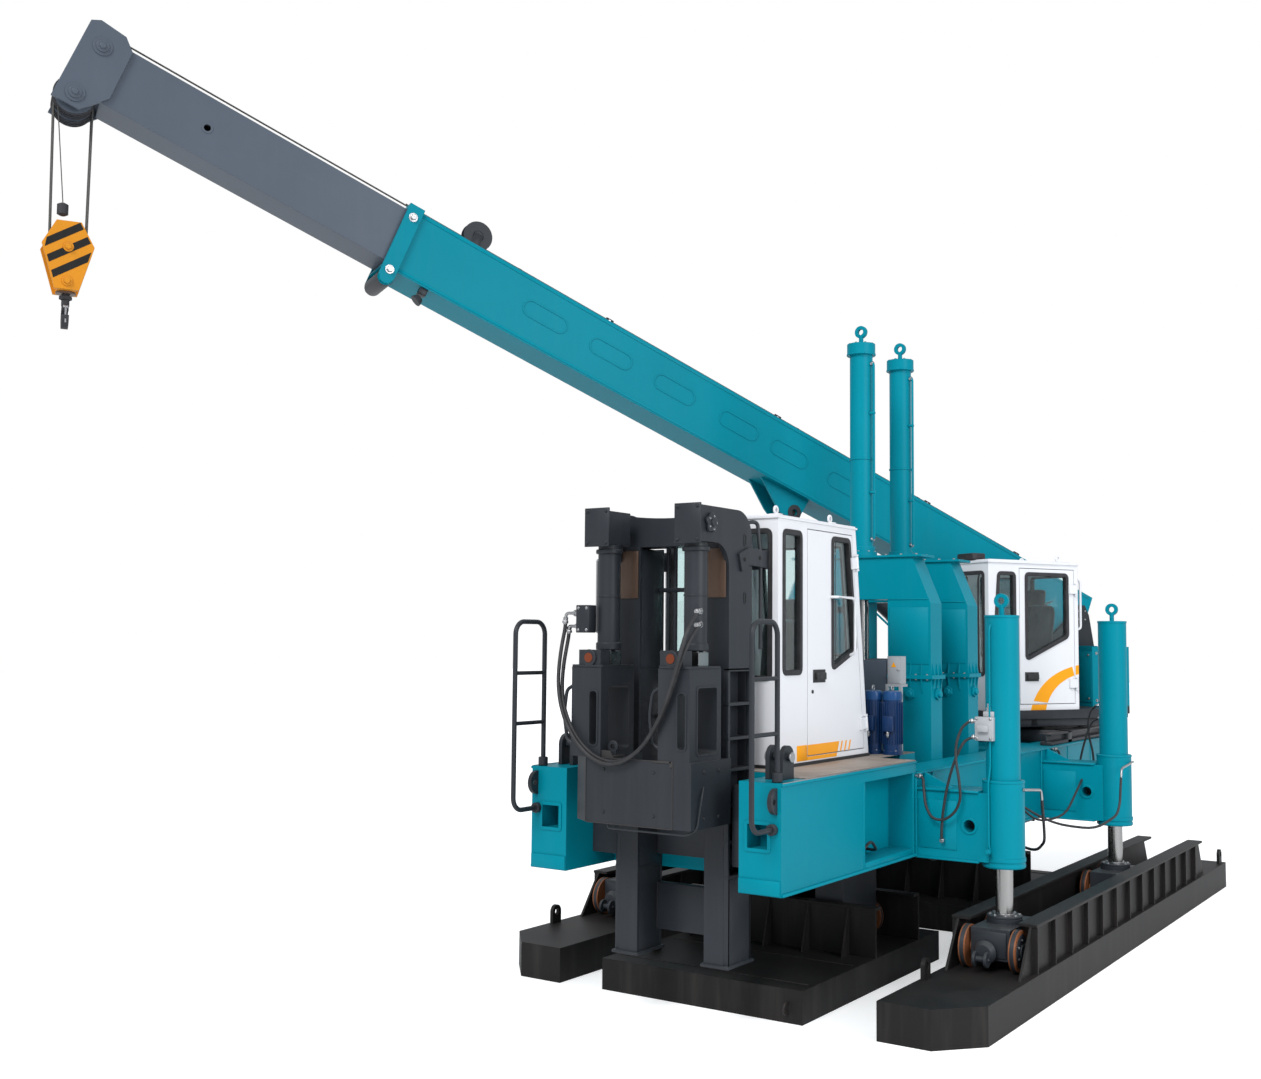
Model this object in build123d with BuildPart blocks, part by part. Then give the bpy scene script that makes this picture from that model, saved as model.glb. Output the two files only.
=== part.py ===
from build123d import *
import math
import os

# Hydraulic pile driving rig on walking pontoons, in millimetres.
# The origin is on the ground under the main pile clamp, +Z is up and the machine's front faces -Y.

# long pontoons, one each side
BOAT_IN, BOAT_OUT = 1311, 1961
BOAT_FRONT, BOAT_REAR = -2970, 4490
BOAT_H = 260
BOAT_CORNER = (270, 300)
BOAT_MID = (BOAT_IN + BOAT_OUT) / 2
LUG_H, LUG_R, LUG_HOLE, LUG_T = 95, 55, 26, 30
BOAT_LUGS = ((-285, BOAT_FRONT + 720), (285, BOAT_REAR - 130))

# rails on the long pontoons
RAIL_TOP, RAIL_WEB, RAIL_FLANGE, RAIL_FLANGE_T = 610, 20, 100, 20
RAIL_FOOT = (-1920, 3620)
RAIL_CREST = (-1680, 3430)
RAIL_IN, RAIL_OUT = 1355, 1917
RIB_T, RIB_OUT, RIB_PITCH = 12, 38, 400

# leg cylinders, their trolleys and wheels
LEG_Y = 1450
ROD_R, ROD_GAP, ROD_END = 65, 1, 2050
BARREL_R, BARREL_TOP, SLEEVE_R, SLEEVE_FOOT, SLEEVE_TOP = 125, 2807, 152.5, 960, 1585
EYE_RING_R, EYE_HOLE, EYE_T, EYE_RISE = 55, 26, 32, 112
TROLLEY_HALF, TROLLEY_L, TROLLEY_FOOT, TROLLEY_TOP = 145, 600, 340, 560
ROD_SEAT = 100
WHEEL_R, WHEEL_W, WHEEL_GAP, AXLE_R, AXLE_FIT = 150, 50, 3, 40, 0.05
WHEEL_IN, AXLE_SPREAD = 192, 240

# short pontoons, front and rear, and the roller hangers above them
SHORT_SIDE = (-942, 744)
SHORT_NEAR, SHORT_FAR = 535, 2930
SHORT_H = 230
SHORT_RAILS = (1760, 940)
SHORT_RAIL_TOP, SHORT_RIBS, SHORT_RIB_START, SHORT_RIB_PITCH, SHORT_FIN = 600, 5, 94, 340, 120
SHORT_LUG = (-760, 2480)
HANGER_X, HANGER_HALF, HANGER_Y = 300, 120, (1050, 1650)
SHORT_WHEEL_Y = (1000, 1700)

# main frame
GIRDER_IN, GIRDER_OUT = 697, 1006
FRAME_FOOT, FRAME_TOP, DECK_T = 1000, 1710, 6
FRAME_FRONT, FRAME_REAR = -3710, 3750
CROSS_BEAMS = ((-3130, -2850), (-1900, -1600), (-1200, -900), (900, 1200), (1600, 1900), (3450, 3750))
WELL_X, WELL_Y = 310, 900
BENCH_TOP = 1526
STUB_X, STUB_Y, STUB_H = (170, 430), (1200, 1600), 300
PLATFORM_Y, PLATFORM_T = (2450, 3450), 300
RECESS_X, RECESS_Z, RECESS_DEEP = (755, 915), (1285, 1450), 180
ALCOVE_Y, ALCOVE_DEEP, ALCOVE_LIP = (-2490, -1660), 200, 90
STEP_Y, REAR_TOP = -1600, 1625
FRAME_LUG_X, FRAME_LUG_Z, FRAME_LUG_R, FRAME_LUG_HOLE = 965, 1596, 83, 20
TWIN_LUG_Y, TWIN_LUG_R, TWIN_LUG_RISE = -3450, 75, 145
OUTRIGGER_HALF, OUTRIGGER_TOP = 150, 1500

# main press gantry
PORTAL_Y, PORTAL_T = 420, 240
PORTAL_IN, PORTAL_OUT = 300, 690
PORTAL_LINTEL, PORTAL_TOP = 2970, 3330
PORTAL_CORNER = (525, 2935)
JOINT_Z, PAD_T = (2295, 2330), 20
PRESS_R, PRESS_TOP, PRESS_CAP_R = 100, 5200, 124
PRESS_ROD_R, PRESS_ROD_TOP = 60, 4540
CLAMP_X, CLAMP_Y, CLAMP_FOOT, CLAMP_TOP, CLAMP_WING = 285, 535, 1750, 2450, 2150
PILE_HALF, CLAMP_WALL_Y = 215, 290

# front press mast
MAST_IN, MAST_OUT = 272, 460
MAST_FRONT, MAST_BACK = -3445, -3140
MAST_FOOT, MAST_T, MAST_TIE = 430, 22, (1100, 1640)
MAST_RIBS = (1030, 1260, 1500, 1740, 1950, 2180, 2410)
HEAD_FRONT, HEAD_BACK, HEAD_FOOT, HEAD_H, HEAD_T, ARM_IN = -3820, -3560, 3260, 240, 36, 280
HEAD_ROUND, HEAD_GUSSET, HEAD_SAG = 190, 170, 35
SIDE_CYL_X, SIDE_CYL_Y, SIDE_CYL_R, SIDE_CYL_L = 355, -3700, 78, 720
SIDE_ROD_R, SIDE_BORE_END = 42, 60
CARRIAGE_FRONT, CARRIAGE_BACK = -3955, -3460
POST_IN, POST_OUT, POST_TOP, POST_BACK = 230, 475, 2425, -3570
FRONT_SLOT, FRONT_SLOT_X, SIDE_SLOT, SLOT_Z, SLOT_ROUND = 62, 182, (-3865, -3625), (1870, 2300), 25
KNOB_X, KNOB_H, CLEVIS_HALF, CLEVIS_H = (240, 420), 115, 62, 105
SKIRT_FOOT, SKIRT_TOP, SKIRT_HALF, SKIRT_CORNER = 1395, 1825, 488, (140, 95)

# pump motors
MOTOR_X, MOTOR_Y, MOTOR_R = (489, 655), -1240, 81

# press cab
CAB_X = (-400, 550)
CAB_FRONT, CAB_REAR_FOOT, CAB_REAR_TOP = -2930, -1460, -1690
CAB_TOP, WALL = 3500, 40
CAB_FOOT = FRAME_TOP + DECK_T
DOOR_GAP, DOOR_SILL, DOOR_HEAD, DOOR_POST = 6, 60, 70, 70
PRESS_DOOR_FRONT = -2490
HINGE_R, HINGE_PIN_R, HINGE_H, HINGE_OUT, HINGE_REACH = 14, 8, 90, 16, 90
PRESS_HINGE_Z, CRANE_HINGE_Z = (200, 1450), (200, 1150)

# crane, in its own frame: forward is -Y, the slewing axis is at its origin
CRANE_Y, SLEW, LUFF = 3000, 29.2, 22.4
PEDESTAL_R, PEDESTAL_TOP = 420, 1850
TURRET_FOOT, TURRET_TOP = 1855, 1935
TURRET_X, TURRET_Y = (-640, 1080), (-1060, 760)
TAIL_X, TAIL_Y, TAIL_TOP = 650, (700, 1230), 2570
PIVOT_Y, PIVOT_Z, PIVOT_R = 900, 2910, 60
CHEEK_IN, CHEEK_T = 245, 30
CRANE_CAB_X, CRANE_CAB_Y, CRANE_CAB_TOP = (320, 1050), (-1040, 125), 3420
CRANE_DOOR_Y = (-650, 75)
BOOM_HALF, BOOM_Z, BOOM_WALL, BOOM_ROOT, BOOM_TIP = 215, (-315, 275), 15, 150, 8330
INNER_X, INNER_Z, INNER_ROOT, INNER_TIP, INNER_WALL = 188, (-255, 250), 3500, 10820, 12
COLLAR_OUT, COLLAR_LEN, COLLAR_FOOT, COLLAR_ROUND = 25, 140, -460, 70
HEAD_TIP, HEAD_Z, HEAD_PIN_R, HEAD_PLATE_T, SHEAVE_R = 11140, (-400, 345), 30, 25, 150
HEAD_PINS = ((10980, 155), (11000, -290))
PORT_Y, PORT_R, PORT_RIM = 10040, 28, 48
LUFF_BASE = (-450, 2150)
LUFF_EYE = (3700, 480)
LUFF_BARREL_R, LUFF_BARREL_L, LUFF_ROD_R, LUFF_PIN_R = 85, 2200, 52, 30
LUFF_BORE_END, LUFF_SPARE = 130, 250
HOOK_DROP, BLOCK_H, BLOCK_HALF, BLOCK_SHOULDER, BLOCK_END, CHEEK_X = 1000, 540, 190, 190, 90, (95, 125)
HOOK_RING, HOOK_OPEN, HOOK_T = 95, 52, 50

PRESS_HINGE_LEAN = math.degrees(math.atan2(CAB_REAR_FOOT - CAB_REAR_TOP, CAB_TOP - CAB_FOOT))
PRESS_HINGE = Location((CAB_X[1] + HINGE_OUT, CAB_REAR_FOOT - 50, CAB_FOOT + 64), (PRESS_HINGE_LEAN, 0, 0))
CRANE = Location((0, CRANE_Y, 0), (0, 0, -SLEW))
CRANE_HINGE = CRANE * Location((CRANE_CAB_X[1] + HINGE_OUT, CRANE_DOOR_Y[1] + 6, TURRET_TOP + 65))
BOOM = CRANE * Location((0, PIVOT_Y, PIVOT_Z), (-LUFF, 0, 0))


def block(x, y, z, mode=Mode.ADD):
    """Adds a block between pairs of limits."""
    with Locations(((x[0] + x[1]) / 2, (y[0] + y[1]) / 2, (z[0] + z[1]) / 2)):
        Box(abs(x[1] - x[0]), abs(y[1] - y[0]), abs(z[1] - z[0]), mode=mode)


def bar_x(x, y, z, r, mode=Mode.ADD):
    """Adds a round bar along X between two limits."""
    with Locations(((x[0] + x[1]) / 2, y, z)):
        Cylinder(r, abs(x[1] - x[0]), rotation=(0, 90, 0), mode=mode)


def bar_y(x, y, z, r, mode=Mode.ADD):
    """Adds a round bar along Y between two limits."""
    with Locations((x, (y[0] + y[1]) / 2, z)):
        Cylinder(r, abs(y[1] - y[0]), rotation=(90, 0, 0), mode=mode)


def bar_z(x, y, z, r, mode=Mode.ADD):
    """Adds a round bar along Z between two limits."""
    with Locations((x, y, (z[0] + z[1]) / 2)):
        Cylinder(r, abs(z[1] - z[0]), mode=mode)


def sheet(plane, points, thick, mode=Mode.ADD):
    """Adds a flat plate: a closed outline on a plane, made thick along its normal."""
    with BuildSketch(plane) as outline:
        with BuildLine():
            Polyline(*points, close=True)
        make_face()
    extrude(outline.sketch, amount=thick, mode=mode)


def apart(*builders):
    """Gathers builders into one piece, in which solids that touch stay separate."""
    return Compound(children=[solid for builder in builders for solid in builder.part.solids()])


def blocks(rows, spot=Location()):
    """Makes a separate block for each row of limits along X, Y and Z."""
    made = []
    for x, y, z in rows:
        with BuildPart() as one:
            with Locations(spot):
                block(x, y, z)
        made.append(one)
    return made


def sheets(rows):
    """Makes a separate plate for each row of plane, outline and thickness."""
    made = []
    for plane, points, thick in rows:
        with BuildPart() as one:
            sheet(plane, points, thick)
        made.append(one)
    return made


def place(spot, plane):
    """Gives a plane carried along by a moving frame."""
    return Plane(spot * plane.location)


def side_plane(x):
    """Gives a plane across X at x, with its own x along +Y and its own y along +Z."""
    return Plane((x, 0, 0), x_dir=(0, 1, 0), z_dir=(1, 0, 0))


def front_plane(y):
    """Gives a plane across Y at y, with its own x along +X and its own y along +Z, facing -Y."""
    return Plane((0, y, 0), x_dir=(1, 0, 0), z_dir=(0, -1, 0))


def ring_eye(x, y, z):
    """Adds a lifting eye on a short neck, standing on z."""
    bar_z(x, y, (z, z + EYE_RISE - EYE_HOLE - 6), 20)
    bar_y(x, (y - EYE_T / 2, y + EYE_T / 2), z + EYE_RISE, EYE_RING_R)
    bar_y(x, (y - EYE_T, y + EYE_T), z + EYE_RISE, EYE_HOLE, mode=Mode.SUBTRACT)


# ---- long pontoons and their legs ----

def long_boat(side):
    """A flat pontoon with its front outer corner cut, two rails on it, and a lug near each end."""
    cut_x, cut_y = BOAT_CORNER
    outline = [(BOAT_IN, BOAT_FRONT), (BOAT_OUT - cut_x, BOAT_FRONT), (BOAT_OUT, BOAT_FRONT + cut_y),
               (BOAT_OUT, BOAT_REAR), (BOAT_IN, BOAT_REAR)]
    web = [(RAIL_FOOT[0], BOAT_H), (RAIL_FOOT[1], BOAT_H), (RAIL_CREST[1], RAIL_TOP - RAIL_FLANGE_T),
           (RAIL_CREST[0], RAIL_TOP - RAIL_FLANGE_T)]
    rails = ((RAIL_IN, -1), (RAIL_OUT, 1))
    with BuildPart() as hull:
        sheet(Plane.XY, [(side * x, y) for x, y in outline], BOAT_H)
    with BuildPart() as lugs:
        for x, y in BOAT_LUGS:
            lug(side * BOAT_MID + x, y, BOAT_H)
    with BuildPart() as webs:
        for x, out in rails:
            sheet(side_plane(min(side * x, side * (x - out * RAIL_WEB))), web, RAIL_WEB)
            for n in range(int((RAIL_CREST[1] - RAIL_CREST[0]) / RIB_PITCH) + 1):
                y = RAIL_CREST[0] + n * RIB_PITCH + RIB_T
                block((side * x, side * (x + out * RIB_OUT)), (y, y + RIB_T), (BOAT_H, RAIL_TOP - RAIL_FLANGE_T))
    heads = blocks([((side * (x + out * RIB_OUT), side * (x - out * RAIL_FLANGE)), RAIL_CREST,
                     (RAIL_TOP - RAIL_FLANGE_T, RAIL_TOP)) for x, out in rails])
    return apart(hull, lugs, webs, *heads)


def lug(x, y, z):
    """Adds an upright lifting lug with a hole across it, standing on z."""
    block((x - LUG_T / 2, x + LUG_T / 2), (y - LUG_R, y + LUG_R), (z, z + LUG_H))
    bar_x((x - LUG_T / 2, x + LUG_T / 2), y, z + LUG_H, LUG_R)
    bar_x((x - LUG_T, x + LUG_T), y, z + LUG_H, LUG_HOLE, mode=Mode.SUBTRACT)


def trolleys(side):
    """The two trolleys that run between one pontoon's rails under its leg rods."""
    mid, axle = side * BOAT_MID, BOAT_H + WHEEL_GAP + WHEEL_R
    with BuildPart() as pair:
        for y in (-LEG_Y, LEG_Y):
            block((mid - TROLLEY_HALF, mid + TROLLEY_HALF), (y - TROLLEY_L / 2, y + TROLLEY_L / 2),
                  (TROLLEY_FOOT, TROLLEY_TOP))
            bar_z(mid, y, (TROLLEY_TOP, TROLLEY_TOP + 35), 130)
            bar_z(mid, y, (TROLLEY_TOP - ROD_SEAT, TROLLEY_TOP + 60), ROD_R, mode=Mode.SUBTRACT)
            for step in (-AXLE_SPREAD, AXLE_SPREAD):
                bar_x((mid - 300, mid + 300), y + step, axle, AXLE_R + AXLE_FIT, mode=Mode.SUBTRACT)
    return apart(pair)


def leg_rods(side):
    """The two chrome rods of one side, standing in their trolleys."""
    with BuildPart() as rods:
        for y in (-LEG_Y, LEG_Y):
            bar_z(side * BOAT_MID, y, (TROLLEY_TOP - ROD_SEAT, ROD_END), ROD_R)
    return apart(rods)


def wheelset(side, y):
    """An axle with a wheel at each end, running between the rails of a long pontoon."""
    mid, axle = side * BOAT_MID, BOAT_H + WHEEL_GAP + WHEEL_R
    with BuildPart() as wheels:
        bar_x((mid - WHEEL_IN, mid + WHEEL_IN), y, axle, AXLE_R)
        for end in (-1, 1):
            bar_x((mid + end * (WHEEL_IN - WHEEL_W + 18), mid + end * (WHEEL_IN + 18)), y, axle, WHEEL_R)
    return apart(wheels)


def leg_barrels():
    """The four leg cylinders with their lower sleeves and lifting eyes."""
    with BuildPart() as barrels:
        for x in (-BOAT_MID, BOAT_MID):
            for y in (-LEG_Y, LEG_Y):
                bar_z(x, y, (SLEEVE_FOOT, SLEEVE_TOP), SLEEVE_R)
                bar_z(x, y, (SLEEVE_TOP, BARREL_TOP), BARREL_R)
                bar_z(x, y, (SLEEVE_FOOT, BARREL_TOP - 60), ROD_R + ROD_GAP, mode=Mode.SUBTRACT)
    with BuildPart() as eyes:
        for x in (-BOAT_MID, BOAT_MID):
            for y in (-LEG_Y, LEG_Y):
                ring_eye(x, y, BARREL_TOP)
    return apart(barrels, eyes)


# ---- short pontoons ----

def short_boat(end):
    """A short pontoon with two rails across the machine; end is -1 in front and 1 behind."""
    under = SHORT_RAIL_TOP - RAIL_FLANGE_T
    rails = ((SHORT_RAILS[0], 1), (SHORT_RAILS[1], -1))
    hull = blocks([(SHORT_SIDE, (end * SHORT_NEAR, end * SHORT_FAR), (0, SHORT_H))])
    with BuildPart() as webs:
        for y, out in rails:
            block(SHORT_SIDE, (end * y, end * (y - out * RAIL_WEB)), (SHORT_H, under))
            fin = [(end * y, SHORT_H), (end * (y + out * SHORT_FIN), SHORT_H), (end * (y + out * RIB_T), under),
                   (end * y, under)]
            for n in range(SHORT_RIBS):
                sheet(side_plane(SHORT_SIDE[0] + SHORT_RIB_START + n * SHORT_RIB_PITCH), fin, RIB_T)
    heads = blocks([(SHORT_SIDE, (end * y, end * (y - out * RAIL_FLANGE)), (under, SHORT_RAIL_TOP))
                    for y, out in rails])
    with BuildPart() as eye:
        lug(SHORT_LUG[0], end * SHORT_LUG[1], SHORT_H)
    return apart(*hull, webs, *heads, eye)


def hangers():
    """The four roller hangers that stand the frame on the short pontoons."""
    axle = SHORT_H + WHEEL_GAP + WHEEL_R
    with BuildPart() as four:
        for end in (-1, 1):
            for x in (-HANGER_X, HANGER_X):
                ends = (end * HANGER_Y[0], end * HANGER_Y[1])
                block((x - HANGER_HALF, x + HANGER_HALF), ends, (axle - 75, FRAME_FOOT))
                bar_y(x, (end * 900, end * 1800), axle, AXLE_R + AXLE_FIT, mode=Mode.SUBTRACT)
    return apart(four)


def short_wheelset(end, x):
    """An axle along Y with a wheel at each end, between the rails of a short pontoon."""
    axle = SHORT_H + WHEEL_GAP + WHEEL_R
    with BuildPart() as wheels:
        bar_y(x, (end * SHORT_WHEEL_Y[0], end * SHORT_WHEEL_Y[1]), axle, AXLE_R)
        for y in SHORT_WHEEL_Y:
            bar_y(x, (end * (y - WHEEL_W / 2), end * (y + WHEEL_W / 2)), axle, WHEEL_R)
    return apart(wheels)


# ---- main frame ----

def main_frame():
    """Two long girders tied by cross beams, round the well for the main pile, and the crane's pedestal."""
    with BuildPart() as girders:
        for side in (-1, 1):
            block((side * GIRDER_IN, side * GIRDER_OUT), (FRAME_FRONT, FRAME_REAR), (FRAME_FOOT, REAR_TOP))
            block((side * GIRDER_IN, side * GIRDER_OUT), (FRAME_FRONT, STEP_Y), (REAR_TOP, FRAME_TOP))
            recess = (side * RECESS_X[0], side * RECESS_X[1])
            block(recess, (FRAME_FRONT, FRAME_FRONT + RECESS_DEEP), RECESS_Z, mode=Mode.SUBTRACT)
            alcove = (side * (GIRDER_OUT - ALCOVE_DEEP), side * GIRDER_OUT)
            block(alcove, ALCOVE_Y, (FRAME_FOOT, FRAME_TOP - ALCOVE_LIP), mode=Mode.SUBTRACT)
    across = (-GIRDER_IN, GIRDER_IN)
    rows = [(across, y, (FRAME_FOOT, FRAME_TOP if y[1] < 0 else REAR_TOP)) for y in CROSS_BEAMS]
    rows.append((across, PLATFORM_Y, (FRAME_TOP - PLATFORM_T, FRAME_TOP)))
    for side in (-1, 1):
        rows.append(((side * WELL_X, side * GIRDER_IN), (-WELL_Y, WELL_Y), (FRAME_FOOT, BENCH_TOP)))
        for end in (-1, 1):
            rows.append(((side * STUB_X[0], side * STUB_X[1]), (end * STUB_Y[0], end * STUB_Y[1]),
                         (FRAME_FOOT, FRAME_FOOT + STUB_H)))
    with BuildPart() as pedestal:
        bar_z(0, CRANE_Y, (FRAME_TOP, PEDESTAL_TOP), PEDESTAL_R)
    return apart(girders, *blocks(rows), pedestal)


def frame_lugs():
    """The half round lug on the face of each front beam and the twin lugs on its top."""
    made, behind = [], (FRAME_FRONT, FRAME_FRONT + FRAME_LUG_R + 5)
    for side in (-1, 1):
        x, mid = side * FRAME_LUG_X, side * (GIRDER_IN + GIRDER_OUT) / 2
        thick = (x - LUG_T / 2, x + LUG_T / 2)
        with BuildPart() as face_lug:
            bar_x(thick, FRAME_FRONT, FRAME_LUG_Z, FRAME_LUG_R)
            block(thick, behind, (FRAME_LUG_Z - FRAME_LUG_R - 5, FRAME_LUG_Z + FRAME_LUG_R + 5), mode=Mode.SUBTRACT)
            bar_x(thick, FRAME_FRONT - 40, FRAME_LUG_Z, FRAME_LUG_HOLE, mode=Mode.SUBTRACT)
        with BuildPart() as twins:
            for start in (mid - 65, mid + 35):
                plate = (start, start + 30)
                block(plate, (TWIN_LUG_Y - TWIN_LUG_R, TWIN_LUG_Y + TWIN_LUG_R), (FRAME_TOP, FRAME_TOP + TWIN_LUG_RISE))
                bar_x(plate, TWIN_LUG_Y, FRAME_TOP + TWIN_LUG_RISE, TWIN_LUG_R)
            bar_x((mid - 85, mid + 85), TWIN_LUG_Y, FRAME_TOP + TWIN_LUG_RISE, 26)
        made += [face_lug, twins]
    return apart(*made)


def deck_plates():
    """The non-slip plates on the girders and between them, with room for lugs and gantry."""
    z = (FRAME_TOP, FRAME_TOP + DECK_T)
    rows = [((side * GIRDER_IN, side * GIRDER_OUT), (TWIN_LUG_Y + TWIN_LUG_R + 20, STEP_Y), z) for side in (-1, 1)]
    rows.append(((-GIRDER_IN, GIRDER_IN), (CROSS_BEAMS[0][0], -WELL_Y), z))
    return apart(*blocks(rows))


def outriggers():
    """The four box beams that carry the leg cylinders."""
    with BuildPart() as beams:
        for side in (-1, 1):
            for y in (-LEG_Y, LEG_Y):
                block((side * GIRDER_OUT, side * (BOAT_MID - 60)), (y - OUTRIGGER_HALF, y + OUTRIGGER_HALF),
                      (FRAME_FOOT, OUTRIGGER_TOP))
                bar_z(side * BOAT_MID, y, (FRAME_FOOT - 10, OUTRIGGER_TOP + 10), SLEEVE_R, mode=Mode.SUBTRACT)
                bar_y(side * 1428, (y - 160, y + 160), 1255, 45, mode=Mode.SUBTRACT)
    return apart(beams)


# ---- main press ----

def gantry():
    """Two portals across the machine that carry the main press cylinders, bolted at mid height."""
    corner_x, corner_z = PORTAL_CORNER
    slope = (PORTAL_OUT - corner_x) / (PORTAL_TOP - corner_z)
    shoulder = PORTAL_OUT - slope * (PORTAL_LINTEL - corner_z)
    upper = [(PORTAL_IN, JOINT_Z[1]), (PORTAL_OUT, JOINT_Z[1]), (PORTAL_OUT, corner_z), (shoulder, PORTAL_LINTEL),
             (PORTAL_IN, PORTAL_LINTEL)]
    lintel = [(-shoulder, PORTAL_LINTEL), (shoulder, PORTAL_LINTEL), (corner_x, PORTAL_TOP), (-corner_x, PORTAL_TOP)]
    rows, plates = [], []
    with BuildPart() as heads:
        for y in (-PORTAL_Y, PORTAL_Y):
            sheet(front_plane(y + PORTAL_T / 2), lintel, PORTAL_T)
            bar_z(0, y, (PORTAL_LINTEL - 5, PORTAL_TOP + 5), PRESS_ROD_R + 12, mode=Mode.SUBTRACT)
    with BuildPart() as pads:
        for y in (-PORTAL_Y, PORTAL_Y):
            block((-620, 620), (y - 140, y + 140), (PORTAL_TOP, PORTAL_TOP + PAD_T))
            bar_z(0, y, (PORTAL_TOP - 5, PORTAL_TOP + PAD_T + 5), PRESS_ROD_R + 12, mode=Mode.SUBTRACT)
            for side in (-1, 1):
                thick = (y - PORTAL_T / 2, y + PORTAL_T / 2)
                plates.append((front_plane(thick[1]), [(side * x, z) for x, z in upper], PORTAL_T))
                rows.append(((side * PORTAL_IN, side * PORTAL_OUT), thick, (BENCH_TOP, JOINT_Z[0])))
                rows.append(((side * PORTAL_IN, side * (PORTAL_OUT + 22)), (y - 142, y + 142), JOINT_Z))
    return apart(heads, pads, *sheets(plates), *blocks(rows))


def press_barrels():
    """The two tall main press cylinders on the gantry."""
    foot = PORTAL_TOP + PAD_T
    with BuildPart() as barrels:
        for y in (-PORTAL_Y, PORTAL_Y):
            bar_z(0, y, (foot, foot + 40), 135)
            bar_z(0, y, (foot, PRESS_TOP), PRESS_R)
            bar_z(0, y, (PRESS_TOP - 60, PRESS_TOP + 35), PRESS_CAP_R)
            bar_z(0, y, (foot - 5, PRESS_TOP - 80), PRESS_ROD_R + 2, mode=Mode.SUBTRACT)
    with BuildPart() as eyes:
        for y in (-PORTAL_Y, PORTAL_Y):
            ring_eye(0, y, PRESS_TOP + 35)
    return apart(barrels, eyes)


def main_clamp():
    """The clamp box that grips the pile between the portals, with a wing under each rod."""
    rows, high = [], (CLAMP_FOOT, CLAMP_TOP)
    for side in (-1, 1):
        rows.append(((side * PILE_HALF, side * CLAMP_X), (-CLAMP_WALL_Y, CLAMP_WALL_Y), high))
        rows.append(((-PILE_HALF, PILE_HALF), (side * PILE_HALF, side * CLAMP_WALL_Y), high))
    with BuildPart() as wings:
        for side in (-1, 1):
            block((-CLAMP_X, CLAMP_X), (side * CLAMP_WALL_Y, side * CLAMP_Y), (CLAMP_WING, CLAMP_TOP))
            bar_z(0, side * PORTAL_Y, (CLAMP_TOP - 150, CLAMP_TOP + 5), PRESS_ROD_R, mode=Mode.SUBTRACT)
    return apart(*blocks(rows), wings)


def press_rods():
    """The main press rods, let into the clamp's wings."""
    with BuildPart() as rods:
        for y in (-PORTAL_Y, PORTAL_Y):
            bar_z(0, y, (CLAMP_TOP - 150, PRESS_ROD_TOP), PRESS_ROD_R)
    return apart(rods)


# ---- front press ----

def mast():
    """Two ribbed columns in front, tied to the girders, with the crosshead on their tops."""
    top, ties, out = HEAD_FOOT + HEAD_H, [], MAST_OUT - HEAD_T
    with BuildPart() as columns:
        for side in (-1, 1):
            x = (side * MAST_IN, side * out)
            block(x, (MAST_FRONT, MAST_FRONT + MAST_T), (MAST_FOOT, HEAD_FOOT))
            block(x, (MAST_BACK - MAST_T, MAST_BACK), (MAST_FOOT, HEAD_FOOT))
            web = side * (MAST_IN + out) / 2
            block((web - MAST_T / 2, web + MAST_T / 2), (MAST_FRONT, MAST_BACK), (MAST_FOOT, HEAD_FOOT))
            for z in MAST_RIBS:
                block((side * MAST_IN, side * MAST_OUT), (MAST_FRONT, MAST_BACK), (z - 10, z + 10))
    for side in (-1, 1):
        ties.append(((side * MAST_OUT, side * GIRDER_IN), (MAST_FRONT + 50, MAST_BACK - 50), MAST_TIE))
        ties.append(((side * ARM_IN, side * out), (HEAD_FRONT, HEAD_BACK), (HEAD_FOOT, top - 10)))
    ties.append(((-MAST_IN, MAST_IN), (MAST_BACK - 60, MAST_BACK), MAST_TIE))
    cheeks = [crosshead_cheek(start) for start in (-MAST_OUT, out)]
    return apart(columns, *blocks(ties), *cheeks, crosshead_bar())


def crosshead_cheek(start):
    """One side plate of the crosshead: an arm, a hollow corner below it and a round corner behind."""
    top, r, gusset, foot = HEAD_FOOT + HEAD_H, HEAD_ROUND, HEAD_GUSSET, MAST_RIBS[-1]
    with BuildPart() as cheek:
        with BuildSketch(side_plane(start)) as outline:
            with BuildLine():
                Line((HEAD_FRONT, HEAD_FOOT), (HEAD_FRONT, top))
                Line((HEAD_FRONT, top), (MAST_BACK - r, top))
                RadiusArc((MAST_BACK - r, top), (MAST_BACK, top - r), r)
                Line((MAST_BACK, top - r), (MAST_BACK, foot))
                Line((MAST_BACK, foot), (MAST_FRONT, foot))
                Line((MAST_FRONT, foot), (MAST_FRONT, HEAD_FOOT - gusset))
                RadiusArc((MAST_FRONT, HEAD_FOOT - gusset), (MAST_FRONT - gusset, HEAD_FOOT), -gusset)
                Line((MAST_FRONT - gusset, HEAD_FOOT), (HEAD_FRONT, HEAD_FOOT))
            make_face()
        extrude(outline.sketch, amount=HEAD_T)
    return cheek


def crosshead_bar():
    """The cross bar between the crosshead's cheeks, with a hollow top edge."""
    half, top = MAST_OUT - HEAD_T, HEAD_FOOT + HEAD_H - 8
    with BuildPart() as bar:
        with BuildSketch(front_plane(MAST_BACK - 90)) as outline:
            with BuildLine():
                Line((-half, HEAD_FOOT), (half, HEAD_FOOT))
                Line((half, HEAD_FOOT), (half, top))
                ThreePointArc((half, top), (0, top - HEAD_SAG), (-half, top))
                Line((-half, top), (-half, HEAD_FOOT))
            make_face()
        extrude(outline.sketch, amount=MAST_BACK - 90 - MAST_FRONT)
    return bar


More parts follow.
